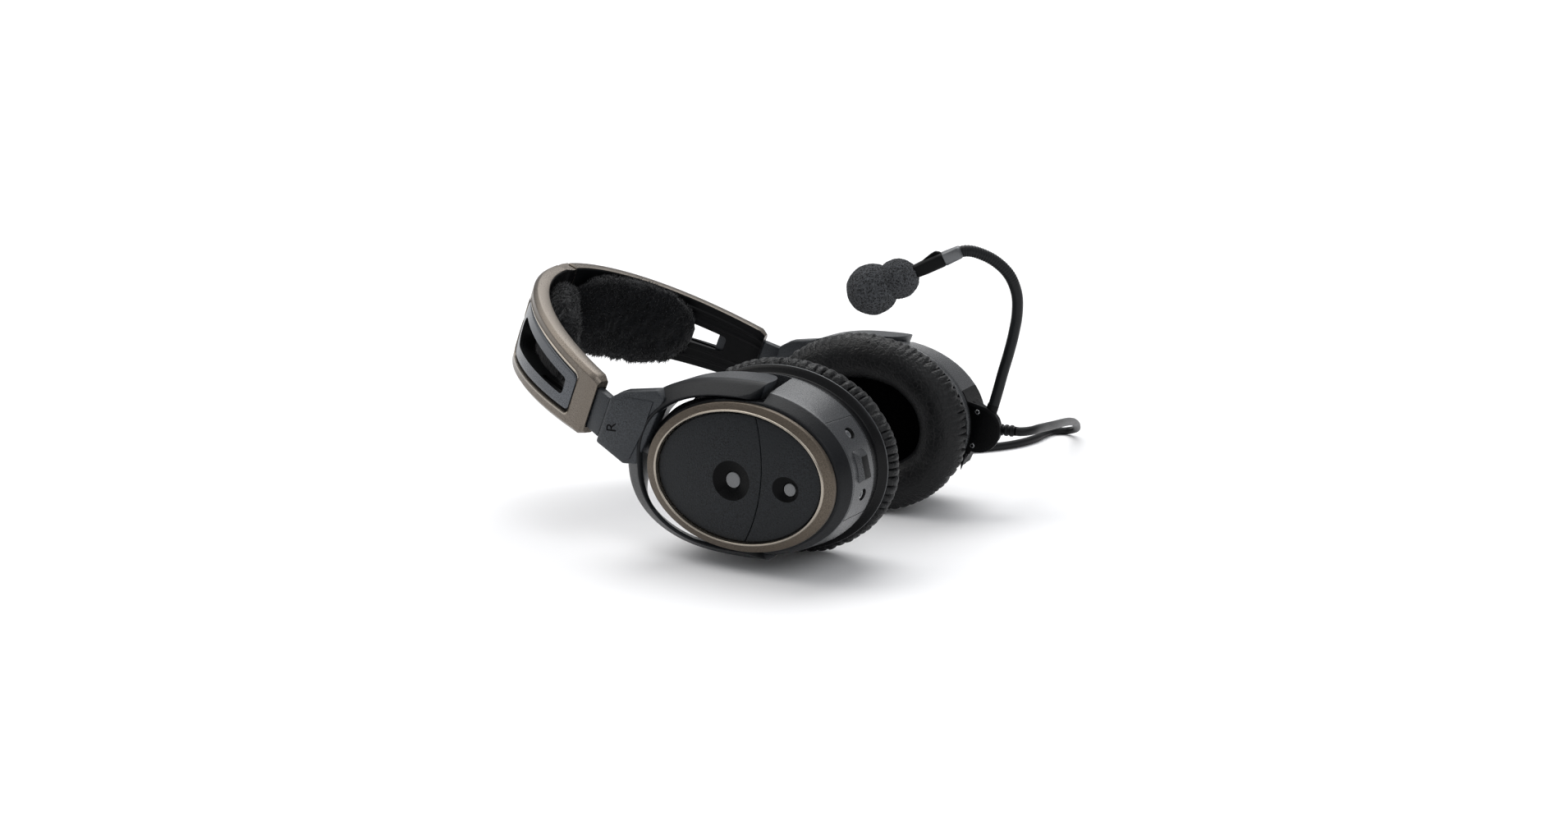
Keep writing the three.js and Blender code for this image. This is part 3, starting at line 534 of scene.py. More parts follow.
def coil_points():
    """Six turns, wound inward on the bottom layer and outward on the top one."""
    radii = [*COIL_RADII, *COIL_RADII[::-1]]
    heights = [BOTTOM_LAYER] * 3 + [TOP_LAYER] * 3
    per_turn = 36
    step_from = 5 / 6  # of a turn, where each turn begins to move to the next one's place
    points = []

    def lay(angle, radius, height):
        points.append((COIL_CENTRE[0] + radius * math.cos(angle),
                       COIL_CENTRE[1] + radius * math.sin(angle), height))

    for turn in range(6):
        onward = min(turn + 1, 5)
        for i in range(per_turn):
            share = i / per_turn
            move = float(smooth(share, step_from, 1.0))
            lay(-math.pi / 2 - 2 * math.pi * share, radii[turn] + (radii[onward] - radii[turn]) * move,
                heights[turn] + (heights[onward] - heights[turn]) * move)
    for i in range(9):  # a last quarter turn, to the tail
        lay(-math.pi / 2 - 2 * math.pi * i / per_turn, radii[5], TOP_LAYER)
    points.append((COIL_CENTRE[0] - radii[5], COIL_CENTRE[1], TOP_LAYER))
    return points


def add_cord():
    route = LEAD + coil_points() + TAIL
    line = row(catmull(route, 900))
    curve = bpy.data.curves.new("cable", "CURVE")
    curve.dimensions = "3D"
    curve.bevel_depth = CORD_R * MM
    curve.bevel_resolution = 5
    curve.use_fill_caps = True
    spline = curve.splines.new("POLY")
    spline.points.add(len(line) - 1)
    for point, at in zip(spline.points, line):
        point.co = (*at, 1.0)
    spline.use_smooth = True
    curve.materials.append(RUBBER)
    obj = link_object("cable", curve)
    register(obj, "left_cup", ["cable_lead", "cable_coil", "cable_tail"])
    length = float(np.linalg.norm(np.diff(line, axis=0), axis=1).sum())
    return obj, line[0].tolist(), length


cable, cable_exit, cable_length = add_cord()
PLUG_AXIS = (0.0, -1.0, 0.0)
PLUG_START = (-118.0, 222.0, FLOOR_Z + 6.1)
SLEEVE_AT, INSERT_AT, PINS_AT = 15.3, 19.0, 40.5  # along the plug from its start
GRIP_PITCH = 0.55


def plug_part(profile, sides, along, aside=(0.0, 0.0)):
    start = (PLUG_START[0] + aside[0], PLUG_START[1] - along, PLUG_START[2] + aside[1])
    return turned(profile, sides, start, PLUG_AXIS)


def add_plug():
    boot = Solid().loft(plug_part(
        [(0.4, 0), (2.75, 0), (2.9, 0.6), (3.3, 3), (3.5, 3.2), (3.5, 4), (3.3, 4.2), (3.5, 5.4),
         (3.75, 5.6), (3.75, 6.4), (3.5, 6.6), (3.7, 7.8), (3.95, 8), (3.95, 8.8), (3.7, 9), (4.3, 13),
         (4.4, 15), (0.4, 15)],
        40, 0))
    boot = piece("plug_boot_ribbed", boot, RUBBER, "left_cup", "rubber", ["plug_boot"], 30)
    profile = [(4.8, 0), (5.4, 0), (5.7, 0.5), (5.8, 1)]
    for i in range(9):  # grip rings
        at = i * GRIP_PITCH
        profile += [(5.8, 1.4 + at), (5.5, 1.55 + at), (5.5, 1.7 + at), (5.8, 1.85 + at)]
    profile += [(5.8, 6.6), (6.0, 6.9), (6.0, 16.7), (5.8, 17), (5.2, 18), (5.2, 33.4), (4.9, 34),
                (4.0, 34), (4.0, 2.4), (4.8, 2.4)]
    sleeve = Solid().loft(plug_part(profile, 64, SLEEVE_AT), closed=True)
    sleeve = piece("plug_sleeve_knurled", sleeve, STEEL, "plug_sleeve", "steel", ["plug_sleeve"], 30)
    insert = Solid().loft(plug_part([(0.3, 0), (3.7, 0), (3.7, 21.6), (3.4, 22), (0.3, 22)], 40, INSERT_AT))
    insert.marked(1)
    for i in range(6):
        angle = i / 6 * 2 * math.pi
        insert.loft(plug_part([(0.1, 0), (0.45, 0), (0.45, 4.6), (0.3, 5.2), (0.1, 5.4)], 12, PINS_AT,
                              (2.3 * math.cos(angle), 2.3 * math.sin(angle))))
    looks = [CONTACT, SOFT_BLACK]
    insert = piece("plug_contacts", insert, looks, "left_cup", "contact", ["plug_contact_insert"])
    return boot, sleeve, insert


def add_tie():
    """A fabric strap round the coil's section."""
    cx, cy = COIL_CENTRE
    middle = cy + 27
    near, far = middle - 7.05, middle + 7.05
    low, high = COIL_BASE - 0.25, COIL_BASE + 9.2
    radius, wrap, thick, half_width = 1.6, 2.1, 0.9, 5
    outline = []
    for y, z, start in ((near, low, 180), (far, low, 270), (far, high, 0), (near, high, 90)):
        inward = (radius if y < middle else -radius, radius if z < FLOOR_Z + 6 else -radius)
        for i in range(7):
            angle = math.radians(start + 90 * i / 6)
            outline.append((y + inward[0] + wrap * math.cos(angle), z + inward[1] + wrap * math.sin(angle)))
    outer = np.array([[(cx - half_width, y, z), (cx + half_width, y, z)] for y, z in outline])
    away = outer - outer.mean(axis=(0, 1))
    away[..., 0] = 0
    inner = outer - away / np.linalg.norm(away, axis=2, keepdims=True) * thick
    solid = Solid().loft([[o[0], o[1], i[1], i[0]] for o, i in zip(outer, inner)], closed=True)
    weave = cloth("strap_weave", (0.02, 0.02, 0.022), 0.6)
    return piece("coil_strap", solid, weave, "left_cup", "black", ["coil_tie"], 40)


boot, sleeve, insert = add_plug()
strap = add_tie()

# ---- Ear cups ----

CUP_A, CUP_B = 51.0, 40.2  # half length and half width of the shell
PINS_LOW = -7.4  # the fork's recess starts here, outward from the pivot plane
FORK_INNER = (47.5, 33.8)
FORK_OUTER = (59.5, 39.9)
FORK_MID_X = -3.5
FORK_POWER = 2.4
WINDOW_MID = {1: -3.0, -1: 5.0}


def rounded(profile, radius, steps=4, closed=False):
    """A profile of tuples, with each corner replaced by a short curve."""
    p = [np.array(q, float) for q in profile]
    out = []
    for i, corner in enumerate(p):
        if not closed and i in (0, len(p) - 1):
            out.append(corner)
            continue
        before, after = p[i - 1], p[(i + 1) % len(p)]
        a, b = np.linalg.norm(before - corner), np.linalg.norm(after - corner)
        if min(a, b) < 1e-6:
            out.append(corner)
            continue
        start = corner + (before - corner) * min(radius / a, 0.45)
        end = corner + (after - corner) * min(radius / b, 0.45)
        for k in range(steps + 1):
            t = k / steps
            out.append((1 - t) ** 2 * start + 2 * t * (1 - t) * corner + t * t * end)
    return out


def oval_rings(profile, sides):
    """Rings in the cup's frame from stations of (half length, half width, outward, lean)."""
    t = circle(sides)
    return np.array([np.stack([a * np.cos(t), np.full(sides, o), b * np.sin(t) + lean], -1)
                     for a, b, o, lean in profile])


def key_angles(a, b, lean, window, nudge):
    """Angles round one oval where its wall steps: the window's two edges and the recess's two ends."""
    def at_z(z):
        return math.asin((z - lean) / b)

    def at_x(x):
        return math.acos(max(-1.0, min(1.0, x / a)))

    front, back = at_x(11), at_x(-44)
    keys = [at_z(window - 21), at_z(window + 21), front, back, 2 * math.pi - back, 2 * math.pi - front]
    pairs = []
    for key, into in zip(keys, (1, -1, 1, -1, 1, -1)):
        pairs += [key - nudge, key] if into > 0 else [key, key + nudge]
    return pairs + [pairs[0] + 2 * math.pi]


def wall_ring(a, b, out, lean, window, counts, low, high):
    """One ring of the shell's wall, with the recess for the fork and the window's pocket pushed in."""
    keys = key_angles(a, b, lean, window, EDGE_NUDGE)
    angles = []
    zones = []
    for i, (k0, k1) in enumerate(zip(keys, keys[1:])):
        count = counts[i]
        angles += np.linspace(k0, k1, count, endpoint=False).tolist()
        zones += [{1: "window", 5: "recess", 9: "recess"}.get(i, "")] * count
    zones = np.array(zones)
    t = np.array(angles)
    x, z = a * np.cos(t), b * np.sin(t) + lean
    closing = np.roll(zones, 1)
    in_window = (zones == "window") | (closing == "window")
    in_recess = (zones == "recess") | (closing == "recess")
    if low < out < high:
        x = np.where(in_window, x * 0.93, x)
        z = np.where(in_window, z * 0.93, z)
    if out > PINS_LOW:
        dx, dz = x - FORK_MID_X, z - 0.4
        size = (np.abs(dx / (FORK_INNER[0] - 2.6)) ** FORK_POWER
                + np.abs(dz / (FORK_INNER[1] - 0.7)) ** FORK_POWER) ** (1 / FORK_POWER)
        curved = in_recess & (x < -3.5) & (size > 1)
        x = np.where(curved, FORK_MID_X + dx / size, x)
        z = np.where(curved, 0.4 + dz / size, z)
        straight = in_recess & (x >= -3.5)
        z = np.where(straight, np.clip(z, -32.7, 33.5), z)
    return np.stack([x, np.full(len(x), out), z], -1)


EDGE_NUDGE = 0.0012  # radians between the two sides of a step in the wall
RECESS_SHADE_FROM = 12.0  # painted shade: the wall is painted matt black beyond this far towards the crown, where the fork covers it and shade falls


def stations_with_steps(wall, steps):
    """The wall's stations, with more at each step and along its long stretch."""
    fine = []
    for p, q in zip(wall, wall[1:]):
        fine.append(p)
        rise = q[2] - p[2]
        stops = [s for s in steps if p[2] < s < q[2]]
        if rise > 4:
            stops += [p[2] + rise * k / 8 for k in range(1, 8)]
        fine += [p + (q - p) * (s - p[2]) / rise for s in sorted(stops)]
    return fine + [wall[-1]]


def cup_shell(side):
    window = WINDOW_MID[side]
    low, high = -7.6, 12.2
    counts = [1, 40, 1, 8, 1, 34, 1, 18, 1, 34, 1, 8]
    wall = rounded([(48.0, 37.0, -9.5, 0.8), (50.2, 39.4, -9.5, 0.8), (51, 40.2, -8.2, 0.8),
                    (51, 37.2, 12.7, 0.6), (47.8, 33.9, 19.6, 0.1), (45.5, 31.6, 19.9, 0.1)], 0.9, 4)
    fine = stations_with_steps(wall, [low, low + 0.02, PINS_LOW, PINS_LOW + 0.02, high, high + 0.02])
    rings = [wall_ring(*station, window, counts, low, high) for station in fine]
    sides = len(rings[0])
    # Painted shade: rings past 13 mm outward, the chamfer, take the near-black copy of the wall's plastic
    marks = [1 if ring[0][1] > 13.0 else 0 for ring in rings]
    cavity = oval_rings([(42, 27, 16.9, 0), (46.5, 29.8, 11, 0), (46.5, 29.8, -9.3, 0),
                         (46.9, 30.4, -9.5, 0)], sides)
    start = key_angles(CUP_A, CUP_B, 0.8, window, EDGE_NUDGE)[0]
    cavity = np.roll(cavity, int(round(-start / (2 * math.pi) * sides)), axis=1)
    solid = Solid().loft(on_side(np.concatenate([cavity, rings]), side), marks=[2] * 4 + marks)
    obj = sided(side, "cup_shell_fine", solid, [WALL_GREY, CHAMFER_SHADE, SOFT_BLACK], "cup", "graphite",
                ["cup_shell"], 28)
    # Painted shade: wall faces under the fork, towards the crown, take the matt black look
    shade_behind_fork = (SHIFT[0] - RECESS_SHADE_FROM) * MM
    for face in obj.data.polygons:
        if max(obj.data.vertices[v].co[0] for v in face.vertices) < shade_behind_fork:
            face.material_index = 2


def oval_ring(side, name, profile, edge, looks, slot, node):
    """A ring with an oval outline. Stations that edge picks out take the second look, a painted highlight
    along that edge.
    """
    marks = [1 if edge(s) else 0 for s in profile]
    solid = Solid().loft(on_side(oval_rings(profile, 200), side), closed=True, marks=marks)
    sided(side, name, solid, looks, "cup", slot, [node], 40)


def bezel(side):
    profile = rounded([(46.9, 33.2, 20.0, 0), (46.7, 33.0, 22.2, 0), (42.6, 30.2, 23.3, 0),
                       (42.3, 29.95, 23.4, 0), (42.1, 29.8, 23.8, 0), (41.6, 29.4, 23.95, 0),
                       (41.1, 29.0, 23.6, 0), (40.75, 28.7, 20.0, 0)], 0.5, 4, closed=True)
    # The bezel's inner bead takes the painted highlight
    oval_ring(side, "bezel_turned", profile, lambda s: s[0] < 42.4 and s[2] > 22.8,
              [BRONZE_DARK, BRONZE_HIGHLIGHT], "bronze", "bezel_ring")


PLATE_A, PLATE_B = 40.35, 28.35
SEAM_MID = (-51.0, 5.4)
SEAM_R = 64.0
PORTS = [("large", -2.0, -1.2, 9.3, 3.45), ("small", 25.8, -2.2, 5.4, 2.75)]


def plate_height(x, z):
    s2 = np.clip((x / PLATE_A) ** 2 + (z / PLATE_B) ** 2, 0, 1)
    return 22.1 + 2.7 * (1 - s2) ** 0.8


def plate_grid(upper):
    """The plate's top, row by row, between the oval and the seam, with a small round at every edge."""
    sign = 1 if upper else -1
    lift = np.array([0, 0.06, 0.14, 0.25, 0.4, 0.6])
    rows = []
    for phi in np.linspace(-math.pi / 2, math.pi / 2, 90)[1:-1]:
        z = PLATE_B * math.sin(phi)
        half = PLATE_A * math.cos(phi)
        seam = SEAM_MID[0] + math.sqrt(max(0.0, (SEAM_R - sign * 0.14) ** 2 - (z - SEAM_MID[1]) ** 2))
        left, right = (-half, min(half, seam)) if upper else (max(-half, seam), half)
        if right - left < 0.05:
            continue
        scale = min(1.0, (right - left) / 3)
        inner = np.linspace(left + 0.6 * scale, right - 0.6 * scale, 60)[1:-1]
        x = np.concatenate([left + lift * scale, inner, (right - lift * scale)[::-1]])
        s = np.sqrt((x / PLATE_A) ** 2 + (z / PLATE_B) ** 2)
        to_oval = (1 - s) * 33
        to_seam = np.abs(np.hypot(x - SEAM_MID[0], z - SEAM_MID[1]) - SEAM_R) - 0.14
        near = np.clip(np.minimum(to_oval, to_seam) / 0.4, 0, 1)
        drop = 0.35 * (1 - np.sqrt(1 - (1 - near) ** 2))
        rows.append(np.stack([x, plate_height(x, z) - drop, np.full(len(x), z)], -1))
    return np.array(rows)


def dish_tool(port, side):
    _, x, z, radius, screen = port
    floor, rim = 21.2, radius + 6
    top = float(plate_height(np.array(x), np.array(z)))
    wall = rounded([(screen + 0.25, floor), (screen + 0.25, 22.6), (radius, top - 0.05),
                    (rim, top + 1.4)], 0.5, 5)
    profile = [(0.01, floor), *wall, (rim, top + 3), (0.01, top + 3)]
    rings = turned([(r, out - floor) for r, out in profile], 96, (x, floor, z), (0, 1, 0))
    return Solid().loft(on_side(rings, side)).marked(1)


def plates(side):
    for upper, label, port in ((True, "upper", PORTS[0]), (False, "lower", PORTS[1])):
        top = plate_grid(upper)
        bottom = top.copy()
        bottom[..., 1] = 20.35
        solid = Solid().slab(on_side(top, side), on_side(bottom, side))
        # Painted shade: the dishes cut round the ports take the darker black
        sided(side, f"plate_{label}_domed", solid, [PLATE_BLACK, DEEP_BLACK_AND_DISH_SHADE], "cup", "plate",
              [f"plate_{label}"], 30, cuts=[dish_tool(port, side)])
    for label, x, z, _, screen in PORTS:
        profile = [(0.01, 0), (screen, 0), (screen, 1.15), (screen - 0.15, 1.3), (screen * 0.5, 1.42),
                   (0.01, 1.45)]
        rings = turned(profile, 64, (x, 21.4, z), (0, 1, 0))
        sided(side, f"port_mesh_{label}", Solid().loft(on_side(rings, side)), SCREEN, "cup", "screen",
              [f"port_screen_{label}"])


def flange(side):
    profile = rounded([(50, 39, -9.7, 0.8), (50, 39, -14.4, 0.8), (52.2, 41.4, -15.6, 0.8),
                       (53.4, 42.7, -16.5, 0.8), (53.4, 42.7, -17.6, 0.8), (40, 28, -17.6, 0.3),
                       (40, 28, -9.7, 0.3)], 0.6, 4, closed=True)
    # The outer rim's stations take the painted highlight
    oval_ring(side, "flange_turned", profile, lambda s: s[0] > 53.2, [GLOSS_BLACK, RIM_HIGHLIGHT], "black",
              "cushion_flange")


def scrim(side):
    stations = [(39.6, 27.6, -10.0, 0)]
    for k in (1.0, 0.96, 0.85, 0.7, 0.5, 0.3, 0.1):
        stations.append((39.6 * k, 27.6 * k, -13.2 - 0.8 * (1 - k * k), 0))
    solid = Solid().loft(on_side(oval_rings(stations, 96), side))
    sided(side, "scrim_cloth", solid, SCRIM, "cup", "foam", ["foam_scrim"], 50)


# ---- Ear cushions: soft leather rings, gathered where they are sewn to the flange's edge ----

GATHERS = 74


def smooth_profile(stations, count):
    """A closed smooth curve through stations, evenly spaced."""
    p = np.asarray(stations, float)
    n = len(p)
    dense = []
    for i in range(n):
        p0, p1, p2, p3 = p[i - 1], p[i], p[(i + 1) % n], p[(i + 2) % n]
        for t in np.linspace(0, 1, 24, endpoint=False):
            dense.append(0.5 * (2 * p1 + (p2 - p0) * t + (2 * p0 - 5 * p1 + 4 * p2 - p3) * t * t
                                + (3 * p1 - p0 - 3 * p2 + p3) * t ** 3))
    dense = np.array(dense + [dense[0]])
    along = np.concatenate([[0], np.cumsum(np.linalg.norm(np.diff(dense, axis=0), axis=1))])
    at = np.linspace(0, along[-1], count, endpoint=False)
    return np.stack([np.interp(at, along, dense[:, k]) for k in range(p.shape[1])], -1)


def noise_field(points, size, seed):
    return np.array([noise.noise(Vector(p) / size + Vector((seed, seed * 1.7, -seed))) for p in points])


def ear_cushion(side):
    profile = smooth_profile([
        (50.2, 40.1, -18.0), (52.6, 42.4, -18.9), (54.3, 44.0, -21.4), (54.6, 44.3, -25.0),
        (53.2, 42.9, -28.6), (50.4, 40.2, -31.4), (46.6, 36.6, -33.1), (42.4, 32.4, -33.5),
        (38.2, 28.6, -32.7), (34.9, 25.4, -30.6), (33.0, 23.5, -27.2), (32.7, 23.2, -23.0),
        (34.2, 24.7, -19.4), (36.5, 27.0, -18.0), (43.5, 33.5, -17.9)], 56)
    sides = GATHERS * 8
    t = circle(sides)
    ring = []
    jitter = np.array([noise.noise(Vector((3 * math.cos(a), 3 * math.sin(a), side * 2.0))) for a in t])
    fine = np.array([noise.noise(Vector((14 * math.cos(a), 14 * math.sin(a), side * 5.0))) for a in t])
    phase = GATHERS * t + 2.2 * jitter * 3
    fold = np.abs(np.sin(phase / 2 + 0.35 * np.sin(phase)))  # round tops, tight valleys
    fold = fold ** 0.7
    for a, b, out in profile:
        outer = smooth(a, 45.5, 50.0)
        by_seam = outer * (1 - smooth(-out, 20.0, 28.5)) * smooth(-out, 17.9, 19.2)
        crown_seam = outer * math.exp(-((out + 30.2) / 0.55) ** 2)
        inner_seam = (1 - smooth(a, 34.0, 38.0)) * math.exp(-((out + 29.0) / 0.6) ** 2)
        grow = (fold - 0.62) * 2.1 * by_seam * (1 + 0.9 * fine) - 0.3 * crown_seam - 0.3 * inner_seam
        grow = grow + (fold - 0.6) * 0.5 * outer * smooth(-out, 20, 25) * (1 - smooth(-out, 29.5, 31.5))
        x, z = (a + grow) * np.cos(t), (b + grow) * np.sin(t) + 0.6
        ring.append(np.stack([x, np.full(sides, out), z], -1))
    ring = np.array(ring)
    flat = ring.reshape(-1, 3)
    centre = np.array([(np.cos(t) * 43.5), np.full(sides, -25.7), np.sin(t) * 33.7 + 0.6]).T
    away = ring - centre[None]
    away /= np.linalg.norm(away, axis=2, keepdims=True)
    broad = noise_field(flat / 13.0, 1.0, 3.1 * side).reshape(ring.shape[:2])
    crease = noise_field(flat * np.array([1, 0.5, 1]) / 4.2, 1.0, 7.7 * side).reshape(ring.shape[:2])
    crease = -np.clip(1 - np.abs(crease) / 0.12, 0, 1) * np.clip(broad * 2 + 0.4, 0, 1)
    held = smooth(-ring[..., 1], 18.4, 21.0)
    ring = ring + away * ((broad * 0.75 + crease * 0.22) * held)[..., None]
    solid = Solid().loft(on_side(ring, side), closed=True)
    obj = sided(side, "cushion_leather", solid, LEATHER, "cup", "leather", ["ear_cushion"], 80)


# ---- Fork round each cup ----


def fork_point(halves, centre_z, angle):
    c, s = math.cos(angle), math.sin(angle)
    power = 2 / FORK_POWER
    return np.array([FORK_MID_X + halves[0] * math.copysign(abs(c) ** power, c),
                     centre_z + halves[1] * math.copysign(abs(s) ** power, s)])


def fork_tip(out):
    """How far the arms reach past the pivots, rounded at both corners of their ends."""
    radius, middle, half = 11.0, 8.0, 12.6
    past = max(0.0, abs(out - middle) - (half - radius))
    return 10.1 - radius + math.sqrt(max(0.0, radius ** 2 - past ** 2))


def fork_angle(x, halves):
    return math.acos(((x - FORK_MID_X) / halves[0]) ** (FORK_POWER / 2))


FORK_LEVELS = 13
TIP_LOW, TIP_RISE = -4.5, 25.0  # the fork's tips, from their inner edge outward
FACE_FROM, FACE_SHARE, FACE_RISE = 13.5, 0.62, 7.0  # where the hoop's sloping outer face begins
HOOP_FULL = 19.5


def fork_level(p_out, p_in, share):
    """A point on the hoop's inner and on its outer surface, at a share of its depth."""
    to_crown = float(np.clip((-5 - p_out[0]) / 55, 0, 1))
    slim = float(smooth(-p_out[1], 2, 22) * smooth(-p_out[0], 12, 30))
    deep = float(smooth(p_out[1], -8, 8))
    tight = float(smooth(p_out[1], 12, 22)) * to_crown
    low = (TIP_LOW + 11 * to_crown * (1 - deep)) * (1 - slim) + 12.5 * slim
    if share <= FACE_SHARE:
        out = low + (FACE_FROM - low) * min(1.0, share / FACE_SHARE)
    else:
        out = FACE_FROM + FACE_RISE * (share - FACE_SHARE) / (1 - FACE_SHARE)
    if out < HOOP_FULL:
        in_share = (0.33 * to_crown + 0.22 * slim + 0.08 * tight) * (1 - (out - low) / (HOOP_FULL - low))
    else:
        in_share = 0.1 * (out - HOOP_FULL)
    out_share = 1.0 if out <= FACE_FROM else 1.0 - 0.84 * (out - FACE_FROM) / FACE_RISE
    span = p_out - p_in
    return [(x, out, z) for x, z in (p_in + span * in_share, p_in + span * out_share)]


def fork(side):
    steps = 150
    inner, outer = [], []
    for i in range(steps + 1):
        row_in, row_out = [], []
        for k in range(FORK_LEVELS):
            share = k / (FORK_LEVELS - 1)
            start = fork_angle(fork_tip(TIP_LOW + TIP_RISE * share), FORK_OUTER)
            angle = start + (2 * math.pi - 2 * start) * i / steps
            p_out, p_in = fork_point(FORK_OUTER, 1.5, angle), fork_point(FORK_INNER, 0.4, angle)
            in_at, out_at = fork_level(p_out, p_in, share)
            row_in.append(in_at)
            row_out.append(out_at)
        inner.append(row_in)
        outer.append(row_out)
    solid = Solid().slab(on_side(outer, side), on_side(inner, side))
    obj = sided(side, "fork_ring", solid, [FORK_GREY, CHAMFER_SHADE], "yoke", "graphite", ["yoke"], 30,
                bevel=0.55, segments=3)
    # Painted shade: the fork's outward-facing side and sloping outer face take the near-black copy of its
    # plastic
    paint(obj, lambda c, n: 1 if n[1] * side > 0.35 or (c[1] * side - PIVOT_Y) > 20.2 else 0)


def paint(obj, rule):
    """Chooses each face's material from its middle and normal, in millimetres from the pivots."""
    for face in obj.data.polygons:
        middle = np.array(face.center) / MM - SHIFT
        face.material_index = rule(middle, face.normal)


STEM_OUTLINE = [(-67.4, 28.4), (-76, 7.2), (-61.5, -1.5), (-54, -1), (-46.5, 14), (-38.5, 30.5),
                (-42.5, 34.2), (-60.5, 32)]
STEM_FRONT = [(-67.4, 28.4), (-76, 7.2), (-61.5, -1.5), (-56.5, 0), (-48, 15), (-42, 30), (-60.5, 31)]


def prism(outline, low, high, side):
    rings = [[(x, out, z) for x, z in outline] for out in (low, high)]
    return Solid().loft(on_side(rings, side))


def inset(outline, amount):
    """An outline moved in by the same distance along every edge."""
    p = [np.array(q, float) for q in outline]
    centre = sum(p) / len(p)
    out = []
    for i, corner in enumerate(p):
        a, b = corner - p[i - 1], p[(i + 1) % len(p)] - corner
        a, b = a / np.linalg.norm(a), b / np.linalg.norm(b)
        na, nb = np.array([-a[1], a[0]]), np.array([-b[1], b[0]])
        if na @ (centre - corner) < 0:
            na, nb = -na, -nb
        way = na + nb
        out.append(tuple(corner + way / (way @ na) * amount))
    return out


LETTER_AT = (-66.2, 20.9, 15.0)


def letter_tool(letter, side):
    """The side letter, to be engraved in the stem so that it reads upright when worn."""
    curve = bpy.data.curves.new("letter", "FONT")
    curve.body = letter
    curve.size = 7.6
    curve.extrude = 0.6
    curve.offset = 0.02
    curve.align_x = "CENTER"
    curve.align_y = "CENTER"
    obj = link_object("letter", curve)
    bpy.context.view_layer.update()
    mesh = bpy.data.meshes.new_from_object(obj.evaluated_get(bpy.context.evaluated_depsgraph_get()))
    verts = [(LETTER_AT[0] - up, LETTER_AT[1] + depth, LETTER_AT[2] - side * across)
             for across, up, depth in (v.co for v in mesh.vertices)]
    solid = Solid().add(on_side(verts, side), [list(f.vertices) for f in mesh.polygons], 1)
    bpy.data.objects.remove(obj)
    return solid


def stem(side):
    looks = [FORK_GREY, SOFT_BLACK]
    body = prism(STEM_OUTLINE, 12.3, 20.0, side)
    sided(side, "fork_stem", body, looks, "yoke", "graphite", (), 30, bevel=1.1, segments=3)
    front = inset(STEM_FRONT, 1.3)
    sided(side, "stem_front", prism(front, 18.0, 20.7, side), looks, "yoke", "graphite", (), 30, bevel=0.5,
          cuts=[letter_tool(NAME[side][0].upper(), side)])


for one in (1, -1):
    for build in (cup_shell, bezel, plates, flange, scrim, ear_cushion, fork, stem):
        build(one)

# ---- Right cup's blank cover and its screws ----

WALL_OUT = [-9.5, -8.2, 12.7, 19.6]
WALL_HALF = [(50.2, 39.4, 0.8), (51, 40.2, 0.8), (51, 37.2, 0.6), (47.8, 33.9, 0.1)]


def wall_x(out, z):
    a, b, lean = (np.interp(out, WALL_OUT, [w[k] for w in WALL_HALF]) for k in range(3))
    return a * np.sqrt(1 - ((z - lean) / b) ** 2)


PANEL_HALF, PANEL_LOW, PANEL_HIGH = 20.86, -7.46, 12.06


def wall_panel(side, proud=0.0):
    """A panel that fills the window in the wall, with a fine gap round it and a rounded edge."""
    middle = WINDOW_MID[side]
    edge = np.array([0, 0.07, 0.16, 0.3, 0.5])
    z = np.concatenate([middle - PANEL_HALF + edge, np.linspace(middle - 20, middle + 20, 36),
                        middle + PANEL_HALF - edge[::-1]])
    out = np.concatenate([PANEL_LOW + edge, np.linspace(-6.5, 11.1, 16), PANEL_HIGH - edge[::-1]])
    grid_out, grid_z = np.meshgrid(out, z, indexing="ij")
    near = np.minimum.reduce([grid_out - PANEL_LOW, PANEL_HIGH - grid_out, grid_z - middle + PANEL_HALF,
                              middle + PANEL_HALF - grid_z])
    drop = 0.3 * (1 - np.sqrt(1 - (1 - np.clip(near / 0.35, 0, 1)) ** 2))
    top = np.stack([wall_x(grid_out, grid_z) + proud - drop, grid_out, grid_z], -1)
    bottom = top.copy()
    bottom[..., 0] = wall_x(grid_out, grid_z) - 2.3
    return Solid().slab(on_side(top, side), on_side(bottom, side))


def screw_place(z):
    """Where a screw's head meets the wall, and the wall's normal there."""
    x = float(wall_x(2.0, z))
    axis = np.array([x / CUP_A ** 2, 0, z / CUP_B ** 2])
    return np.array([x, 2.0, z]), axis / np.linalg.norm(axis)


def on_side_axis(axis, side):
    return np.array([axis[0], axis[1] * side, axis[2]])


def socket_screw(at, axis, radius, depth, length):
    """A cap screw: rings down its outside, over the head, and down a six-sided socket.

    The head's face is at depth below the start."""
    at, axis = np.asarray(at, float), np.asarray(axis, float)
    spokes = spokes_round(axis, 48)
    wrapped = (circle(48) + math.pi / 6) % (math.pi / 3) - math.pi / 6
    hexagon = (math.cos(math.pi / 6) / np.cos(wrapped))[:, None]
    head = [(0.01, depth + length), (radius, depth + length), (radius, depth + 0.25), (radius - 0.25, depth)]
    socket = [(radius * 0.58, depth), (radius * 0.55, depth + 0.12), (radius * 0.55, depth + 1.1),
              (0.01, depth + 1.3)]
    rings = [at - axis * down + spokes * r for r, down in head]
    rings += [at - axis * down + spokes * r * hexagon for r, down in socket]
    return Solid().loft(rings)


COVER_SCREWS_Z = (20.5, -6.0)


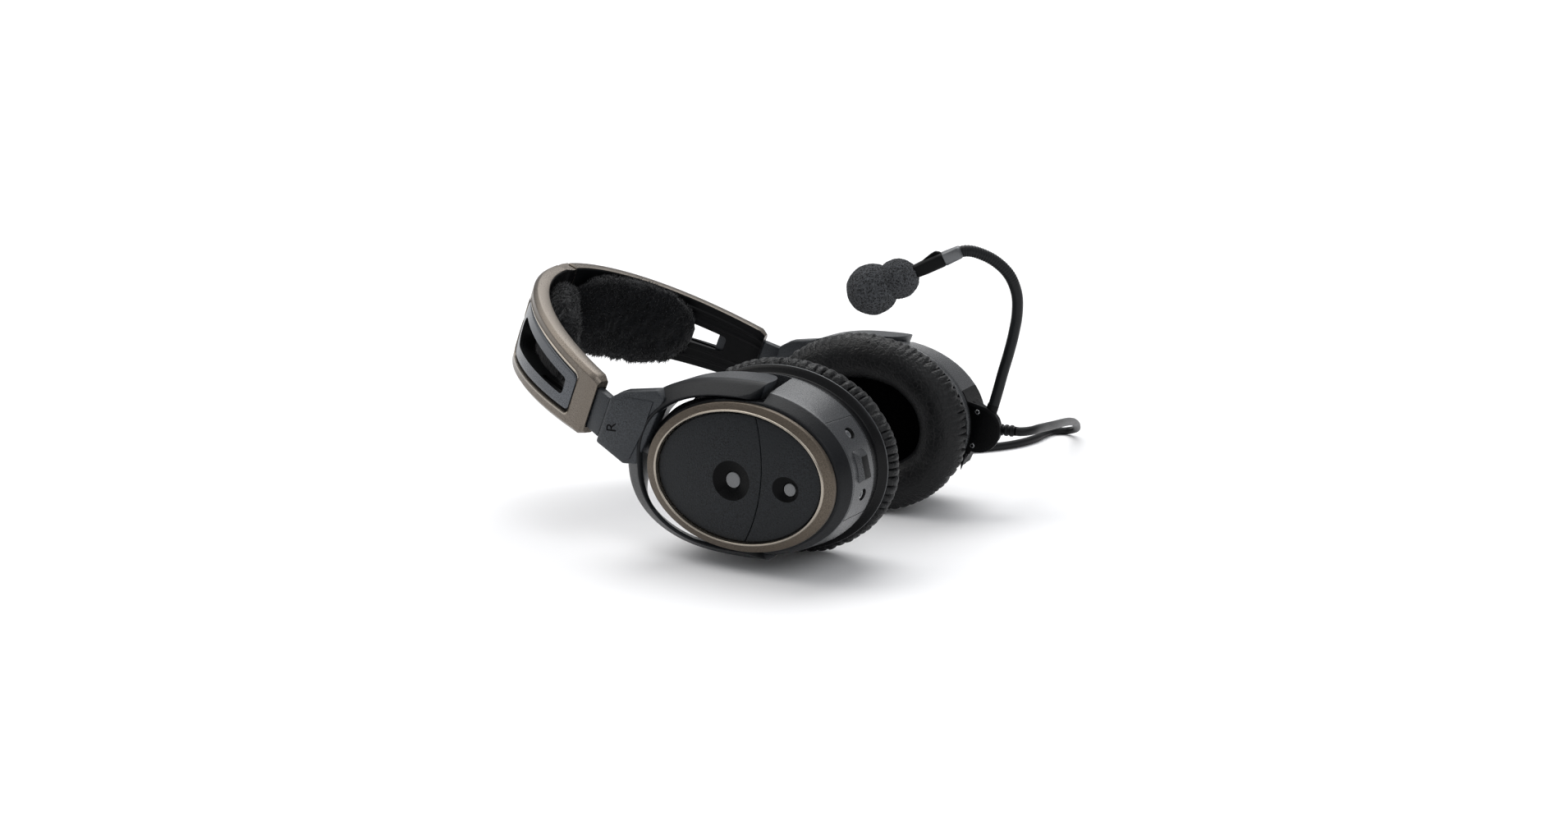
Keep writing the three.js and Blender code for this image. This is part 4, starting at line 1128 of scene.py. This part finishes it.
def right_cover():
    side = -1
    looks = [WALL_GREY, SOFT_BLACK]
    places = []
    for z in COVER_SCREWS_Z:
        at, axis = screw_place(z)
        places.append((at, axis, on_side_axis(axis, side)))
    profile = [(0.01, 0), (2.25, 0), (2.35, 1.2), (3.0, 2.3), (3.4, 4.5), (0.01, 4.5)]
    cuts = [Solid().loft(turned(profile, 48, on_side(at - axis * 2.0, side), way)).marked(1)
            for at, axis, way in places]
    piece("right_cover_panel", wall_panel(side), looks, "right_cup", "graphite", ["right_bottom_cover"], 28,
          cuts=cuts)
    for i, (at, _, way) in enumerate(places, 1):
        solid = socket_screw(on_side(at, side), way, 2.1, 0.9, 1.6)
        piece(f"cover_socket_screw_{i}", solid, STEEL, "right_cup", "steel", [f"cover_screw_{i}"], 30)
    rings = []
    for lift, shrink in ((-1.5, 0.0), (0.2, 0.0), (2.2, 1.3), (2.45, 1.7)):
        ring = []
        for out, z in ((-1.5, 0.3), (7.6, 0.3), (7.6, 13.7), (-1.5, 13.7)):
            o = out + (shrink if out < 3 else -shrink)
            w = z + (shrink * 1.25 if z < 7 else -shrink * 1.25)
            ring.append((float(wall_x(3.0, w)) + lift, o, w))
        rings.append(ring)
    tab = Solid().loft(on_side(rings, side))
    obj = piece("right_cover_tab", tab, looks, "right_cup", "graphite", (), 30, bevel=0.35)
    paint(obj, lambda c, n: 1 if n[0] > 0.9 else 0)


# ---- Left cup's module: the boom's swivel and the cable's exit ----

MODULE_END = (54.3, -0.5)


def module_outline(radius, from_x=46.0):
    outline = [(from_x, 14.0), (from_x, -22.4 + (radius < 10) * 2.0)]
    for i in range(19):
        angle = math.radians(-112 + i * 182 / 18)
        outline.append((MODULE_END[0] + radius * math.cos(angle), MODULE_END[1] + radius * math.sin(angle)))
    return outline


def slab_y(outline, low, high):
    return Solid().loft([[(x, y, z) for x, z in outline] for y in (low, high)])


def module_piece(name, solid, looks, node=None, slot="black", crease=30, **more):
    piece(name, solid, looks, "left_cup", slot, [node] if node else [], crease, **more)


def module():
    module_piece("left_module_panel", wall_panel(1, 0.4), SOFT_BLACK, crease=28)
    module_piece("left_module_cheek", slab_y(module_outline(12.0), 56.2, 57.8), [SOFT_BLACK, DEEP_BLACK_AND_DISH_SHADE],
                 "boom_cable_module", bevel=0.45, segments=3)
    face = slab_y(inset(module_outline(12.0), 1.5), 55.95, 56.6)
    module_piece("left_module_face", face, DEEP_BLACK_AND_DISH_SHADE, bevel=0.2)
    body = module_outline(8.2)
    bore = turned([(0.01, 0), (2.75, 0), (2.75, 14), (0.01, 14)], 40, (56.5, 65.8, -1.6), (1, 0, 0))
    module_piece("left_module_body", slab_y(body, 63.0, 69.5), SOFT_BLACK, bevel=0.9, segments=3,
                 cuts=[Solid().loft(bore)])
    foot = [(46, 12), (46, -20.4)] + [p for p in body[2:] if p[1] < -8.2]
    foot += [(60.5, -8.2), (49, -8.2), (49, 12)]
    module_piece("left_module_foot", slab_y(foot, 57.6, 63.2), SOFT_BLACK)
    for i, (x, z) in enumerate(((54.3, 8.2), (52.0, -9.0)), 1):
        solid = socket_screw((x, 55.85, z), (0, -1, 0), 1.35, 0.0, 1.0)
        module_piece(f"module_socket_screw_{i}", solid, STEEL, f"module_screw_{i}", "steel")


def strain_relief():
    profile = [(2.3, 0), (2.55, 0), (2.55, 0.4)]
    for i in range(4):
        at = 2.6 + i * 2.7
        profile += [(2.35, at), (2.75, at + 0.2), (2.9, at + 0.5), (2.9, at + 1.3), (2.75, at + 1.6),
                    (2.35, at + 1.8)]
    profile += [(2.35, 13.4), (2.3, 13.6), (2.25, 13.6)]
    solid = Solid().loft(turned(profile, 48, (57.4, 65.8, -1.6), (1, 0, 0)), closed=True)
    module_piece("cable_strain_relief_ribbed", solid, RUBBER, "cable_strain_relief", "rubber")


# ---- Boom and microphone ----

BOOM_PIVOT = (57.5, -2.0)
BOOM_ROUTE = [(61, 60.2, 10.8), (63.4, 59.6, 19), (66.3, 58.4, 29), (69.6, 56.6, 39), (72.6, 54.4, 49),
              (75.1, 51.4, 59.5), (75.7, 48, 69.4), (73, 44, 78.6), (66.8, 39.8, 85.4), (59, 35.2, 89.3),
              (55.2, 33.3, 89.7), (52.7, 32, 89.1)]
MIC_FROM = np.array((51.6, 31.4, 88.6))
MIC_TO = np.array((34.5, 24.8, 80.2))


def boom():
    x, z = BOOM_PIVOT
    disc = [(0.01, 0), (7.0, 0), (7.5, 0.5), (7.5, 4.0), (7.0, 4.5), (5.2, 4.5), (5.0, 4.2), (0.01, 4.2)]
    hub = Solid().loft(turned(disc, 64, (x, 58.1, z), (0, 1, 0)))
    neck = [(2.85, 2.0), (2.85, 9.0), (2.72, 9.2), (2.72, 9.8), (2.85, 10.0), (2.85, 10.8), (2.72, 11.0),
            (2.72, 11.6), (2.85, 11.8), (2.85, 14.0), (2.72, 14.6), (0.01, 14.6)]
    hub.loft(turned([(0.01, 2.0)] + neck, 48, (x, 59.95, z), (3.3, -0.1, 12.4)))
    piece("boom_hub_turned", hub, SOFT_BLACK, "boom", "black", ["boom_hub"], 30)
    line = catmull(BOOM_ROUTE, 1400)
    along = np.concatenate([[0], np.cumsum(np.linalg.norm(np.diff(line, axis=0), axis=1))])
    total = along[-1]
    ribs_from = total - 36.0
    at = np.concatenate([np.linspace(0, ribs_from, 90, endpoint=False), np.linspace(ribs_from, total, 260)])
    points = np.stack([np.interp(at, along, line[:, k]) for k in range(3)], -1)
    ribbed = smooth(at, ribs_from, ribs_from + 8)
    radii = 2.68 + ribbed * (0.24 * np.abs(np.sin(math.pi * at / 1.25)) ** 0.8 - 0.12)
    tube = Solid().loft(tube_rings(points, radii, 40))
    piece("boom_tube", tube, BOOM_GREY, "boom", "rubber", ["boom_gooseneck"], 60)


def mic_section(share, half_wide, half_high, chamfer=0.32):
    axis = MIC_TO - MIC_FROM
    axis /= np.linalg.norm(axis)
    wide = np.cross(axis, (0, 0, 1))
    wide /= np.linalg.norm(wide)
    high = np.cross(wide, axis)
    centre = MIC_FROM + (MIC_TO - MIC_FROM) * share
    c = 1 - chamfer
    shape = [(1, c), (c, 1), (-c, 1), (-1, c), (-1, -c), (-c, -1), (c, -1), (1, -c)]
    return [centre + wide * half_wide * u + high * half_high * v for u, v in shape], wide, high


def mic():
    def block(name, stations, look, slot, node, bevel):
        rings = [mic_section(share, w, h)[0] for share, w, h in stations]
        piece(name, Solid().loft(rings), look, "boom", slot, [node], 30, bevel=bevel)

    block("mic_collar_faceted",
          [(-0.12, 2.8, 2.5), (-0.08, 3.3, 2.9), (-0.05, 3.5, 3.0), (0.30, 3.9, 3.3), (0.33, 3.7, 3.1)],
          MIC_METAL, "steel", "mic_collar", 0.2)
    block("mic_body_block",
          [(0.33, 3.9, 3.1), (0.36, 4.3, 3.3), (0.80, 4.4, 3.3), (0.90, 4.0, 3.2), (1.12, 3.6, 3.0)],
          SOFT_BLACK, "black", "mic_body", 0.3)
    _, wide, high = mic_section(0.5, 1, 1)
    rings = []
    for share, lift in ((0.30, 2.6), (0.36, 4.1), (0.44, 5.0), (0.56, 4.7), (0.72, 3.9), (0.86, 3.0)):
        centre = MIC_FROM + (MIC_TO - MIC_FROM) * share
        rings.append([centre + wide * 2.6 + high * 1.5, centre + wide * 2.3 + high * lift,
                      centre - wide * 2.3 + high * lift, centre - wide * 2.6 + high * 1.5])
    piece("mic_clip", Solid().loft(rings), DEEP_BLACK_AND_DISH_SHADE, "boom", "black", (), 40, bevel=0.4)


def foam_ball(centre, radius, seed, stretch):
    work = bmesh.new()
    bmesh.ops.create_icosphere(work, subdivisions=6, radius=1.0)
    points = np.array([v.co for v in work.verts])
    faces = [[v.index for v in f.verts] for f in work.faces]
    work.free()
    coarse = noise_field(points * 2.2, 1.0, seed)
    pores = noise_field(points * radius, 0.85, seed + 4)
    grit = noise_field(points * radius, 0.45, seed + 9)
    size = radius * (1 + coarse * 0.02) + np.minimum(pores, 0.15) * 0.42 + grit * 0.2
    return np.asarray(centre) + points * size[:, None] * np.asarray(stretch), faces


def windscreen():
    solid = Solid()
    solid.add(*foam_ball((26.3, 21.6, 76.2), 9.8, 1.0, (1.0, 1.0, 0.97)))
    solid.add(*foam_ball((14.6, 18.0, 70.9), 12.4, 5.0, (1.0, 1.0, 0.98)))
    obj = piece("mic_windscreen_foam", solid, FOAM, "boom", "foam", ["mic_windscreen"], 180)


# ---- Headband ----

BAND_HEIGHT, BAND_HALF_SPAN = 127.7, 81.2
BAND_END = 1.23
BAND_LEAN = math.radians(22)
BAND_AT = (-41.0, 5.5)
BAND_BODY = 0.056
WINDOW_FROM, WINDOW_TO = 0.36, 1.135
RIM = 6.0
SLOT_FROM, SLOT_TO = 0.56, 1.05
SLOT_WIDE, SLOT_NARROW = 7.6, 4.3  # half widths at its two ends


def band_point(angle, out, across):
    """In the headband's own frame."""
    angle, out, across = np.broadcast_arrays(np.asarray(angle, float), out, across)
    c, s = np.cos(angle), np.sin(angle)
    nx, ny = -BAND_HALF_SPAN * c, BAND_HEIGHT * s
    size = np.hypot(nx, ny)
    return np.stack([-BAND_HEIGHT * c + nx / size * out, BAND_HALF_SPAN * s + ny / size * out, across], -1)


def from_band(points, side):
    p = np.asarray(points, float)
    c, s = math.cos(BAND_LEAN), math.sin(BAND_LEAN)
    return np.stack([p[..., 0] * c + p[..., 2] * s + BAND_AT[0], side * p[..., 1],
                     -p[..., 0] * s + p[..., 2] * c + BAND_AT[1]], -1)


def band_half_width(angle):
    return 23.5 + (15 - 23.5) * np.clip(angle / BAND_END, 0, 1) ** 1.5


def band_speed(angle):
    return np.hypot(BAND_HEIGHT * np.sin(angle), BAND_HALF_SPAN * np.cos(angle))


def window_half(angle, shrink=0.0):
    """The window's half width: a round end towards the crown, small round corners towards the arm's end."""
    width = band_half_width(angle) - RIM - shrink
    radius = float(band_half_width(0.46) - RIM - shrink)
    to_crown = (angle - WINDOW_FROM) * band_speed(angle) - shrink
    to_end = (WINDOW_TO - angle) * band_speed(angle) - shrink
    if to_crown <= 0 or to_end <= 0:
        return 0.0
    if to_crown < radius:
        width = min(width, math.sqrt(max(0.0, radius ** 2 - (radius - to_crown) ** 2)))
    corner = 2.6
    if to_end < corner:
        width = width - corner + math.sqrt(max(0.0, corner ** 2 - (corner - to_end) ** 2))
    return float(width)


def window_rows():
    """Angles along the arm, close together where the window's ends turn."""
    round_end = [WINDOW_FROM + 0.10 * (1 - math.cos(t)) * 2.05 for t in np.linspace(0.02, math.pi / 2, 22)]
    far = [WINDOW_TO - 0.045 * (1 - math.cos(t)) for t in np.linspace(0.02, math.pi / 2, 8)]
    return sorted(round_end + list(np.linspace(0.58, WINDOW_TO - 0.05, 46)) + far)


def bent_slab(shrink, low, high, side, edge=0.0):
    """A closed sheet that follows the arm, with the window's outline."""
    top, bottom = [], []
    lift = np.array([0.0, 0.2, 0.5])
    for angle in window_rows():
        half = window_half(angle, shrink)
        if half < 0.3:
            continue
        flat = half - 0.9 if half > 1.5 else half * 0.5
        inner = np.linspace(-flat, flat, 22)
        scale = min(1.0, half / 1.0)
        across = np.concatenate([-half + lift * scale, inner, (half - lift * scale)[::-1]])
        near = np.clip((half - np.abs(across)) / 0.9, 0, 1)
        drop = edge * (1 - np.sqrt(1 - (1 - near) ** 2))
        top.append(band_point(angle, high - drop, across))
        bottom.append(band_point(angle, low, across))
    return Solid().slab(from_band(top, side), from_band(bottom, side))


def slot_tool(side):
    """A slot straight through, wide and round towards the crown, narrower towards the arm's end."""
    top, bottom = [], []
    ends = np.linspace(0.0, math.pi / 2, 12)
    corner, beyond = 2.2, 9.0
    rows = [(SLOT_FROM - SLOT_WIDE / band_speed(SLOT_FROM) * math.cos(t), SLOT_WIDE * math.sin(t))
            for t in ends]
    rows += [(a, SLOT_WIDE + (SLOT_NARROW - SLOT_WIDE) * (a - SLOT_FROM) / (SLOT_TO - SLOT_FROM))
             for a in np.linspace(SLOT_FROM, SLOT_TO, 24)[1:-1]]
    rows += [(SLOT_TO + corner / band_speed(SLOT_TO) * math.cos(t),
              SLOT_NARROW - corner + corner * math.sin(t)) for t in ends[::-1]]
    for angle, width in rows:
        across = np.linspace(-1, 1, 7) * max(width, 0.02)
        top.append(band_point(angle, beyond, across))
        bottom.append(band_point(angle, -beyond, across))
    return Solid().slab(from_band(top, side), from_band(bottom, side)).marked(1)


def slider_frame():
    """Start and direction of the slider's straight path, in the headband's frame."""
    angle = 1.107
    start = band_point(angle, -1.0, 0.0)
    along = band_point(angle + 0.001, 0, 0) - band_point(angle - 0.001, 0, 0)
    along /= np.linalg.norm(along)
    return start, along, np.array([-along[1], along[0], 0.0])


def slider_box(from_depth, to_depth, half_width, half_thickness, side, mark=0):
    """Depth is measured from the arm's end into the arm."""
    start, along, across = slider_frame()
    rings = []
    for depth in (from_depth, to_depth):
        centre = start + along * (15.0 - depth)
        rings.append([centre + across * u * half_thickness + np.array([0, 0, v * half_width])
                      for u, v in ((1, 1), (1, -1), (-1, -1), (-1, 1))])
    return Solid().loft(from_band(rings, side)).marked(mark)


CHAMFER = ((2.1, 0.0), (1.75, 0.1), (0.1, 1.75), (0.0, 2.1))  # in from the arm's edge, and down
ARM_HIGH, ARM_LOW, ARM_ROUND = 4.0, -4.0, 0.9
ARM_CREASE = 32
END_TRIM, START_TRIM = 0.026, 0.008  # angles over which the arm's two ends are chamfered


def inner_rib(reach):
    """Two low ribs along the arm's inner face, by share of its half width."""
    return (0.55 * (smooth(reach, 0.66, 0.69) - smooth(reach, 0.76, 0.79))
            + 0.45 * (smooth(reach, 0.40, 0.43) - smooth(reach, 0.47, 0.50)))


def frame_section(angle, window):
    """One closed ring round the arm: outer face with the window's step, front rim, inner face, rear rim."""
    past = max(0.0, angle - (BAND_END - END_TRIM)) / END_TRIM
    before = max(0.0, BAND_BODY + START_TRIM - angle) / START_TRIM
    trim = 1.5 * past + 0.5 * before
    half = float(band_half_width(angle)) - trim
    high, low = ARM_HIGH - trim * 0.8, ARM_LOW + trim * 0.4
    step = min(window, half - 3.4)
    open_here = window > 0.35
    floor, lip, dip = (2.2, 0.28, 0.25) if open_here else (high, 0.0, 0.0)
    rim = [(high - dip, step)]
    bead = ((0.12, 0.6), (0.4, 1), (0.8, 1), (1.1, 0.3))
    rim += [(high + lip * share, step + grow) for grow, share in bead]
    rim.append((high, step + 1.4))
    rim += [(high, across) for across in np.linspace(step + 1.4, half - 2.3, 4)[1:]]
    rim += [(high - down, half - inward) for inward, down in CHAMFER]
    rim.append((low + ARM_ROUND, half))
    rim += [(low + ARM_ROUND - ARM_ROUND * math.sin(t), half - ARM_ROUND + ARM_ROUND * math.cos(t))
            for t in np.linspace(0, math.pi / 2, 4)[1:]]
    face = [(floor, across * max(step - 0.02, 0.01)) for across in np.linspace(-1, 1, 15)]
    ribs = [(low - inner_rib(abs(across) / half) * smooth(angle, 0.80, 0.84) * (1 - past), across)
            for across in np.linspace(half - 1.4, -half + 1.4, 57)]
    mirrored = [(out, -across) for out, across in rim[::-1]]
    return [band_point(angle, out, across) for out, across in face + rim + ribs + mirrored]


def right_arm():
    side = -1
    rows = [BAND_BODY + k for k in (0, 0.002, 0.004, START_TRIM)]
    rows += list(np.linspace(0.08, WINDOW_FROM - 0.01, 22))
    rows += window_rows() + [BAND_END - 0.05, BAND_END - END_TRIM, BAND_END - END_TRIM / 2, BAND_END]
    steps = [(angle, window_half(angle)) for angle in rows]
    steps += [(WINDOW_FROM + 0.0002, 0.0), (WINDOW_TO + 0.0002, 0.0)]
    solid = Solid().loft([from_band(frame_section(a, w), side) for a, w in sorted(steps)])
    mouth = slider_box(-3, 9, 10.4, 2.55, side, 1)
    channel = slider_box(8, 41, 10.4, 1.5, side, 1)
    obj = piece("right_arm", solid, [BRONZE, SOFT_BLACK, BRONZE_HIGHLIGHT], "right_band", "bronze",
                ["right_band_frame"], ARM_CREASE, cuts=[slot_tool(side), mouth, channel], solver="MANIFOLD")
    paint_band(obj, side)


def left_arm():
    """The right arm's mirror image."""
    twin = bpy.data.objects["right_arm"].data.copy()
    twin.transform(Matrix.Scale(-1, 4, (0, 1, 0)))
    twin.flip_normals()
    obj = link_object("left_arm", twin)
    finish_mesh(twin, ARM_CREASE)
    register(obj, "left_band", ["left_band_frame"])


LUGS = {1: ((-22.5, -13.3), (12.9, 22.5)), -1: ((-13.0, 7.9),)}  # across the crown
LUG_R, LUG_EDGE_R = 4.0, 3.4
NECK = ((-3.8, 0.6), (3.8, 0.6), (3.8, 6.2), (-3.8, 6.2))


def hinge_lugs(side):
    for i, (low, high) in enumerate(LUGS[side], 1):
        rings = [[(-BAND_HEIGHT + radius * math.cos(t), radius * math.sin(t), across) for t in circle(48)]
                 for across, radius in ((low, LUG_EDGE_R), (low + 0.5, LUG_R), (high - 0.5, LUG_R),
                                        (high, LUG_EDGE_R))]
        lug = Solid().loft(from_band(rings, side))
        neck = [[(-BAND_HEIGHT + x, y, across) for x, y in NECK] for across in (low + 0.1, high - 0.1)]
        lug.loft(from_band(neck, side))
        knuckle = sided(side, f"hinge_lug_{i}", lug, [BRONZE, SOFT_BLACK], "band", "bronze", (), 30)
        paint(knuckle, lambda middle, normal: 1 if to_band(middle, side)[0] > 1.5 - BAND_HEIGHT else 0)


def to_band(points, side):
    p = np.asarray(points, float)
    x, z = p[..., 0] - BAND_AT[0], p[..., 2] - BAND_AT[1]
    c, s = math.cos(BAND_LEAN), math.sin(BAND_LEAN)
    return np.stack([x * c - z * s, p[..., 1] * side, x * s + z * c], -1)


def paint_band(obj, side):
    """Black inside, bronze outside, painted shade (black) on the window's floor and step in the gap round
    the insert, and a painted highlight (brighter bronze) along the window's lip.
    """
    c, s = math.cos(BAND_LEAN), math.sin(BAND_LEAN)

    def rule(middle, normal):
        p = to_band(middle, side)
        angle = math.atan2(p[1] / BAND_HALF_SPAN, -p[0] / BAND_HEIGHT)
        n = np.array([normal[0] * c - normal[2] * s, normal[1] * side])
        out = np.array([-BAND_HALF_SPAN * math.cos(angle), BAND_HEIGHT * math.sin(angle)])
        facing = n @ out / np.linalg.norm(out)
        ring = abs(p[2]) < window_half(angle) - 0.3
        past = np.array([p[0] + BAND_HEIGHT * math.cos(angle), p[1] - BAND_HALF_SPAN * math.sin(angle)])
        depth = past @ out / np.linalg.norm(out)
        if facing < -0.5 and depth < -1.5:
            return 1
        # Painted shade: the window's floor and step, seen in the gap round the insert, are black
        if ring and depth < 3.4 and angle < BAND_END - 0.01:
            return 1
        # Painted highlight: the raised lip above 4.06 mm takes the brighter bronze
        return 0 if depth < 4.06 else 2

    paint(obj, rule)


def insert(side):
    solid = bent_slab(1.1, 2.3, 3.75, side, 0.9)
    sided(side, "arm_insert", solid, [INSERT_GREY, SOFT_BLACK], "band", "insert", ["band_insert"], 32,
          cuts=[slot_tool(side)])


def slider(side):
    neck = slider_box(-9.7, -0.2, 10.0, 2.2, side)
    sided(side, "slider_neck", neck, FORK_GREY, "yoke", "graphite", (), 30, bevel=0.7, segments=3)
    bar = slider_box(-0.6, 34, 10.0, 1.2, side)
    sided(side, "slider_bar", bar, FORK_GREY, "yoke", "graphite", ["height_slider"], 30, bevel=0.3,
          cuts=[slider_box(24, 40, 7.2, 9, side)])


# ---- Head pads: two lobes of fleece under the crown ----


PAD_FROM, PAD_SPAN = 0.045, 0.865  # angles along the arm
PAD_TOP = -4.3
TUFTS = 5200


def head_pad(side):
    rng = random.Random(11 + side)
    rings = []
    steps = 110
    t = circle(96)
    for i in range(steps + 1):
        share = i / steps
        swell = math.sqrt(max(0.02, 1 - abs(2 * share - 1) ** 3.2))
        half, depth = 22.4 * swell, 16.2 * swell
        across = half * np.sign(np.cos(t)) * np.abs(np.cos(t)) ** 0.75
        lift = 0.5 * (1 + np.sign(np.sin(t)) * np.abs(np.sin(t)) ** 0.7)
        rings.append(band_point(PAD_FROM + share * PAD_SPAN, PAD_TOP - depth * (1 - lift), across))
    rings = np.array(rings)
    flat = rings.reshape(-1, 3)
    away = rings - rings.mean(axis=1, keepdims=True)
    away /= np.linalg.norm(away, axis=2, keepdims=True) + 1e-9
    clumps, tufts, pile = (noise_field(flat / size, 1.0, seed + side).reshape(rings.shape[:2])
                           for size, seed in ((7.0, 2.0), (2.4, 6.0), (1.1, 9.0)))
    mid_line = band_point(np.linspace(PAD_FROM, PAD_FROM + PAD_SPAN, steps + 1), PAD_TOP, 0)
    free = smooth(np.linalg.norm(rings - mid_line[:, None], axis=2), 3, 9)
    rings = rings + away * ((clumps * 1.3 + tufts * 0.9 + pile * 0.5) * free)[..., None]
    solid = Solid().loft(from_band(rings, side))
    points, ways, room = rings.reshape(-1, 3), away.reshape(-1, 3), free.reshape(-1)
    for _ in range(TUFTS):
        k = rng.randrange(len(points))
        if room[k] < 0.6:
            continue
        base, way = points[k], ways[k]
        lean = np.array([rng.gauss(0, 0.5) for _ in range(3)])
        tip = base + (way + lean) / np.linalg.norm(way + lean) * rng.uniform(1.0, 2.3)
        aside = np.cross(way, (0.3, 0.5, 0.8))
        aside = aside / np.linalg.norm(aside) * 0.34
        other = np.cross(way, aside)
        foot = base - way * 0.5
        corners = [foot + aside, foot - aside * 0.5 + other * 0.9, foot - aside * 0.5 - other * 0.9, tip]
        solid.add(from_band(corners, side), [(0, 2, 1), (0, 1, 3), (1, 2, 3), (2, 0, 3)])
    obj = sided(side, "pad_fleece", solid, FLEECE, "band", "fleece", ["head_pad"], 180)


right_cover()
module()
strain_relief()
boom()
mic()
windscreen()
for one, arm in ((-1, right_arm), (1, left_arm)):
    arm()
    hinge_lugs(one)
    insert(one)
    slider(one)
    head_pad(one)

# ---- CAD nodes that stay as they are, inside the fine pieces ----

KEPT = {"crown_hinge_pin": STEEL, "crown_torsion_spring": STEEL, "mic_capsule": STEEL}
for word in NAME.values():
    KEPT.update({f"{word}_baffle": SOFT_BLACK, f"{word}_driver": STEEL, f"{word}_circuit_board": BOARD,
                 f"{word}_pivot_pin_front": STEEL, f"{word}_pivot_pin_rear": STEEL})
for node_name, look in KEPT.items():
    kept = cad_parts[node_name].data.materials
    kept.clear()
    kept.append(look)


# ---- Stage ----


def add_floor():
    mesh = bpy.data.meshes.new("floor")
    half = 40.0
    corners = [(-half, -half, 0), (half, -half, 0), (half, half, 0), (-half, half, 0)]
    mesh.from_pydata(corners, [], [(0, 1, 2, 3)])
    floor = link_object("floor", mesh)
    n = Nodes("pale_floor")
    n.drive("Base Color", n.mix(n.noise(40.0), (0.93, 0.93, 0.935), (0.95, 0.95, 0.955)))
    n.fix("Roughness", 0.7)
    mesh.materials.append(n.material)


def add_sun(name, azimuth, elevation, softness, strength, color=(1, 1, 1), shadow=True):
    """Soft light from far away. Azimuth 0 is from -Y, the camera's side, and 90 is from +X."""
    data = bpy.data.lights.new(name, "SUN")
    data.energy = strength
    data.angle = math.radians(softness)
    data.color = color
    data.use_shadow = shadow
    light = link_object(name, data)
    a, e = math.radians(azimuth), math.radians(elevation)
    away = Vector((math.sin(a) * math.cos(e), -math.cos(a) * math.cos(e), math.sin(e)))
    light.rotation_euler = away.to_track_quat("Z", "Y").to_euler()


def add_world():
    """A bright horizon that joins the floor, under a dimmer studio ceiling."""
    world = bpy.data.worlds.new("studio")
    bpy.context.scene.world = world
    world.use_nodes = True
    tree = world.node_tree
    tree.nodes.clear()
    output = tree.nodes.new("ShaderNodeOutputWorld")
    background = tree.nodes.new("ShaderNodeBackground")
    place = tree.nodes.new("ShaderNodeTexCoord")
    split = tree.nodes.new("ShaderNodeSeparateXYZ")
    ramp = tree.nodes.new("ShaderNodeValToRGB")
    stops = ramp.color_ramp.elements
    stops[0].position, stops[0].color = 0.06, (1.0, 1.0, 1.0, 1.0)
    stops[1].position, stops[1].color = 0.9, (0.42, 0.425, 0.44, 1.0)
    side = stops.new(0.22)
    side.color = (0.24, 0.245, 0.255, 1.0)
    tree.links.new(place.outputs["Generated"], split.inputs[0])
    tree.links.new(split.outputs["Z"], ramp.inputs[0])
    tree.links.new(ramp.outputs[0], background.inputs[0])
    background.inputs[1].default_value = 1.12
    tree.links.new(background.outputs[0], output.inputs[0])


bpy.context.scene.view_settings.view_transform = "Standard"
add_floor()
add_world()
add_sun("overhead", 200, 62, 50, 1.7)
add_sun("left", 285, 50, 40, 0.75, (1.0, 0.98, 0.95))
add_sun("right", 60, 45, 35, 0.45, (0.96, 0.98, 1.0))
add_sun("fill", 0, 80, 120, 0.45, shadow=False)
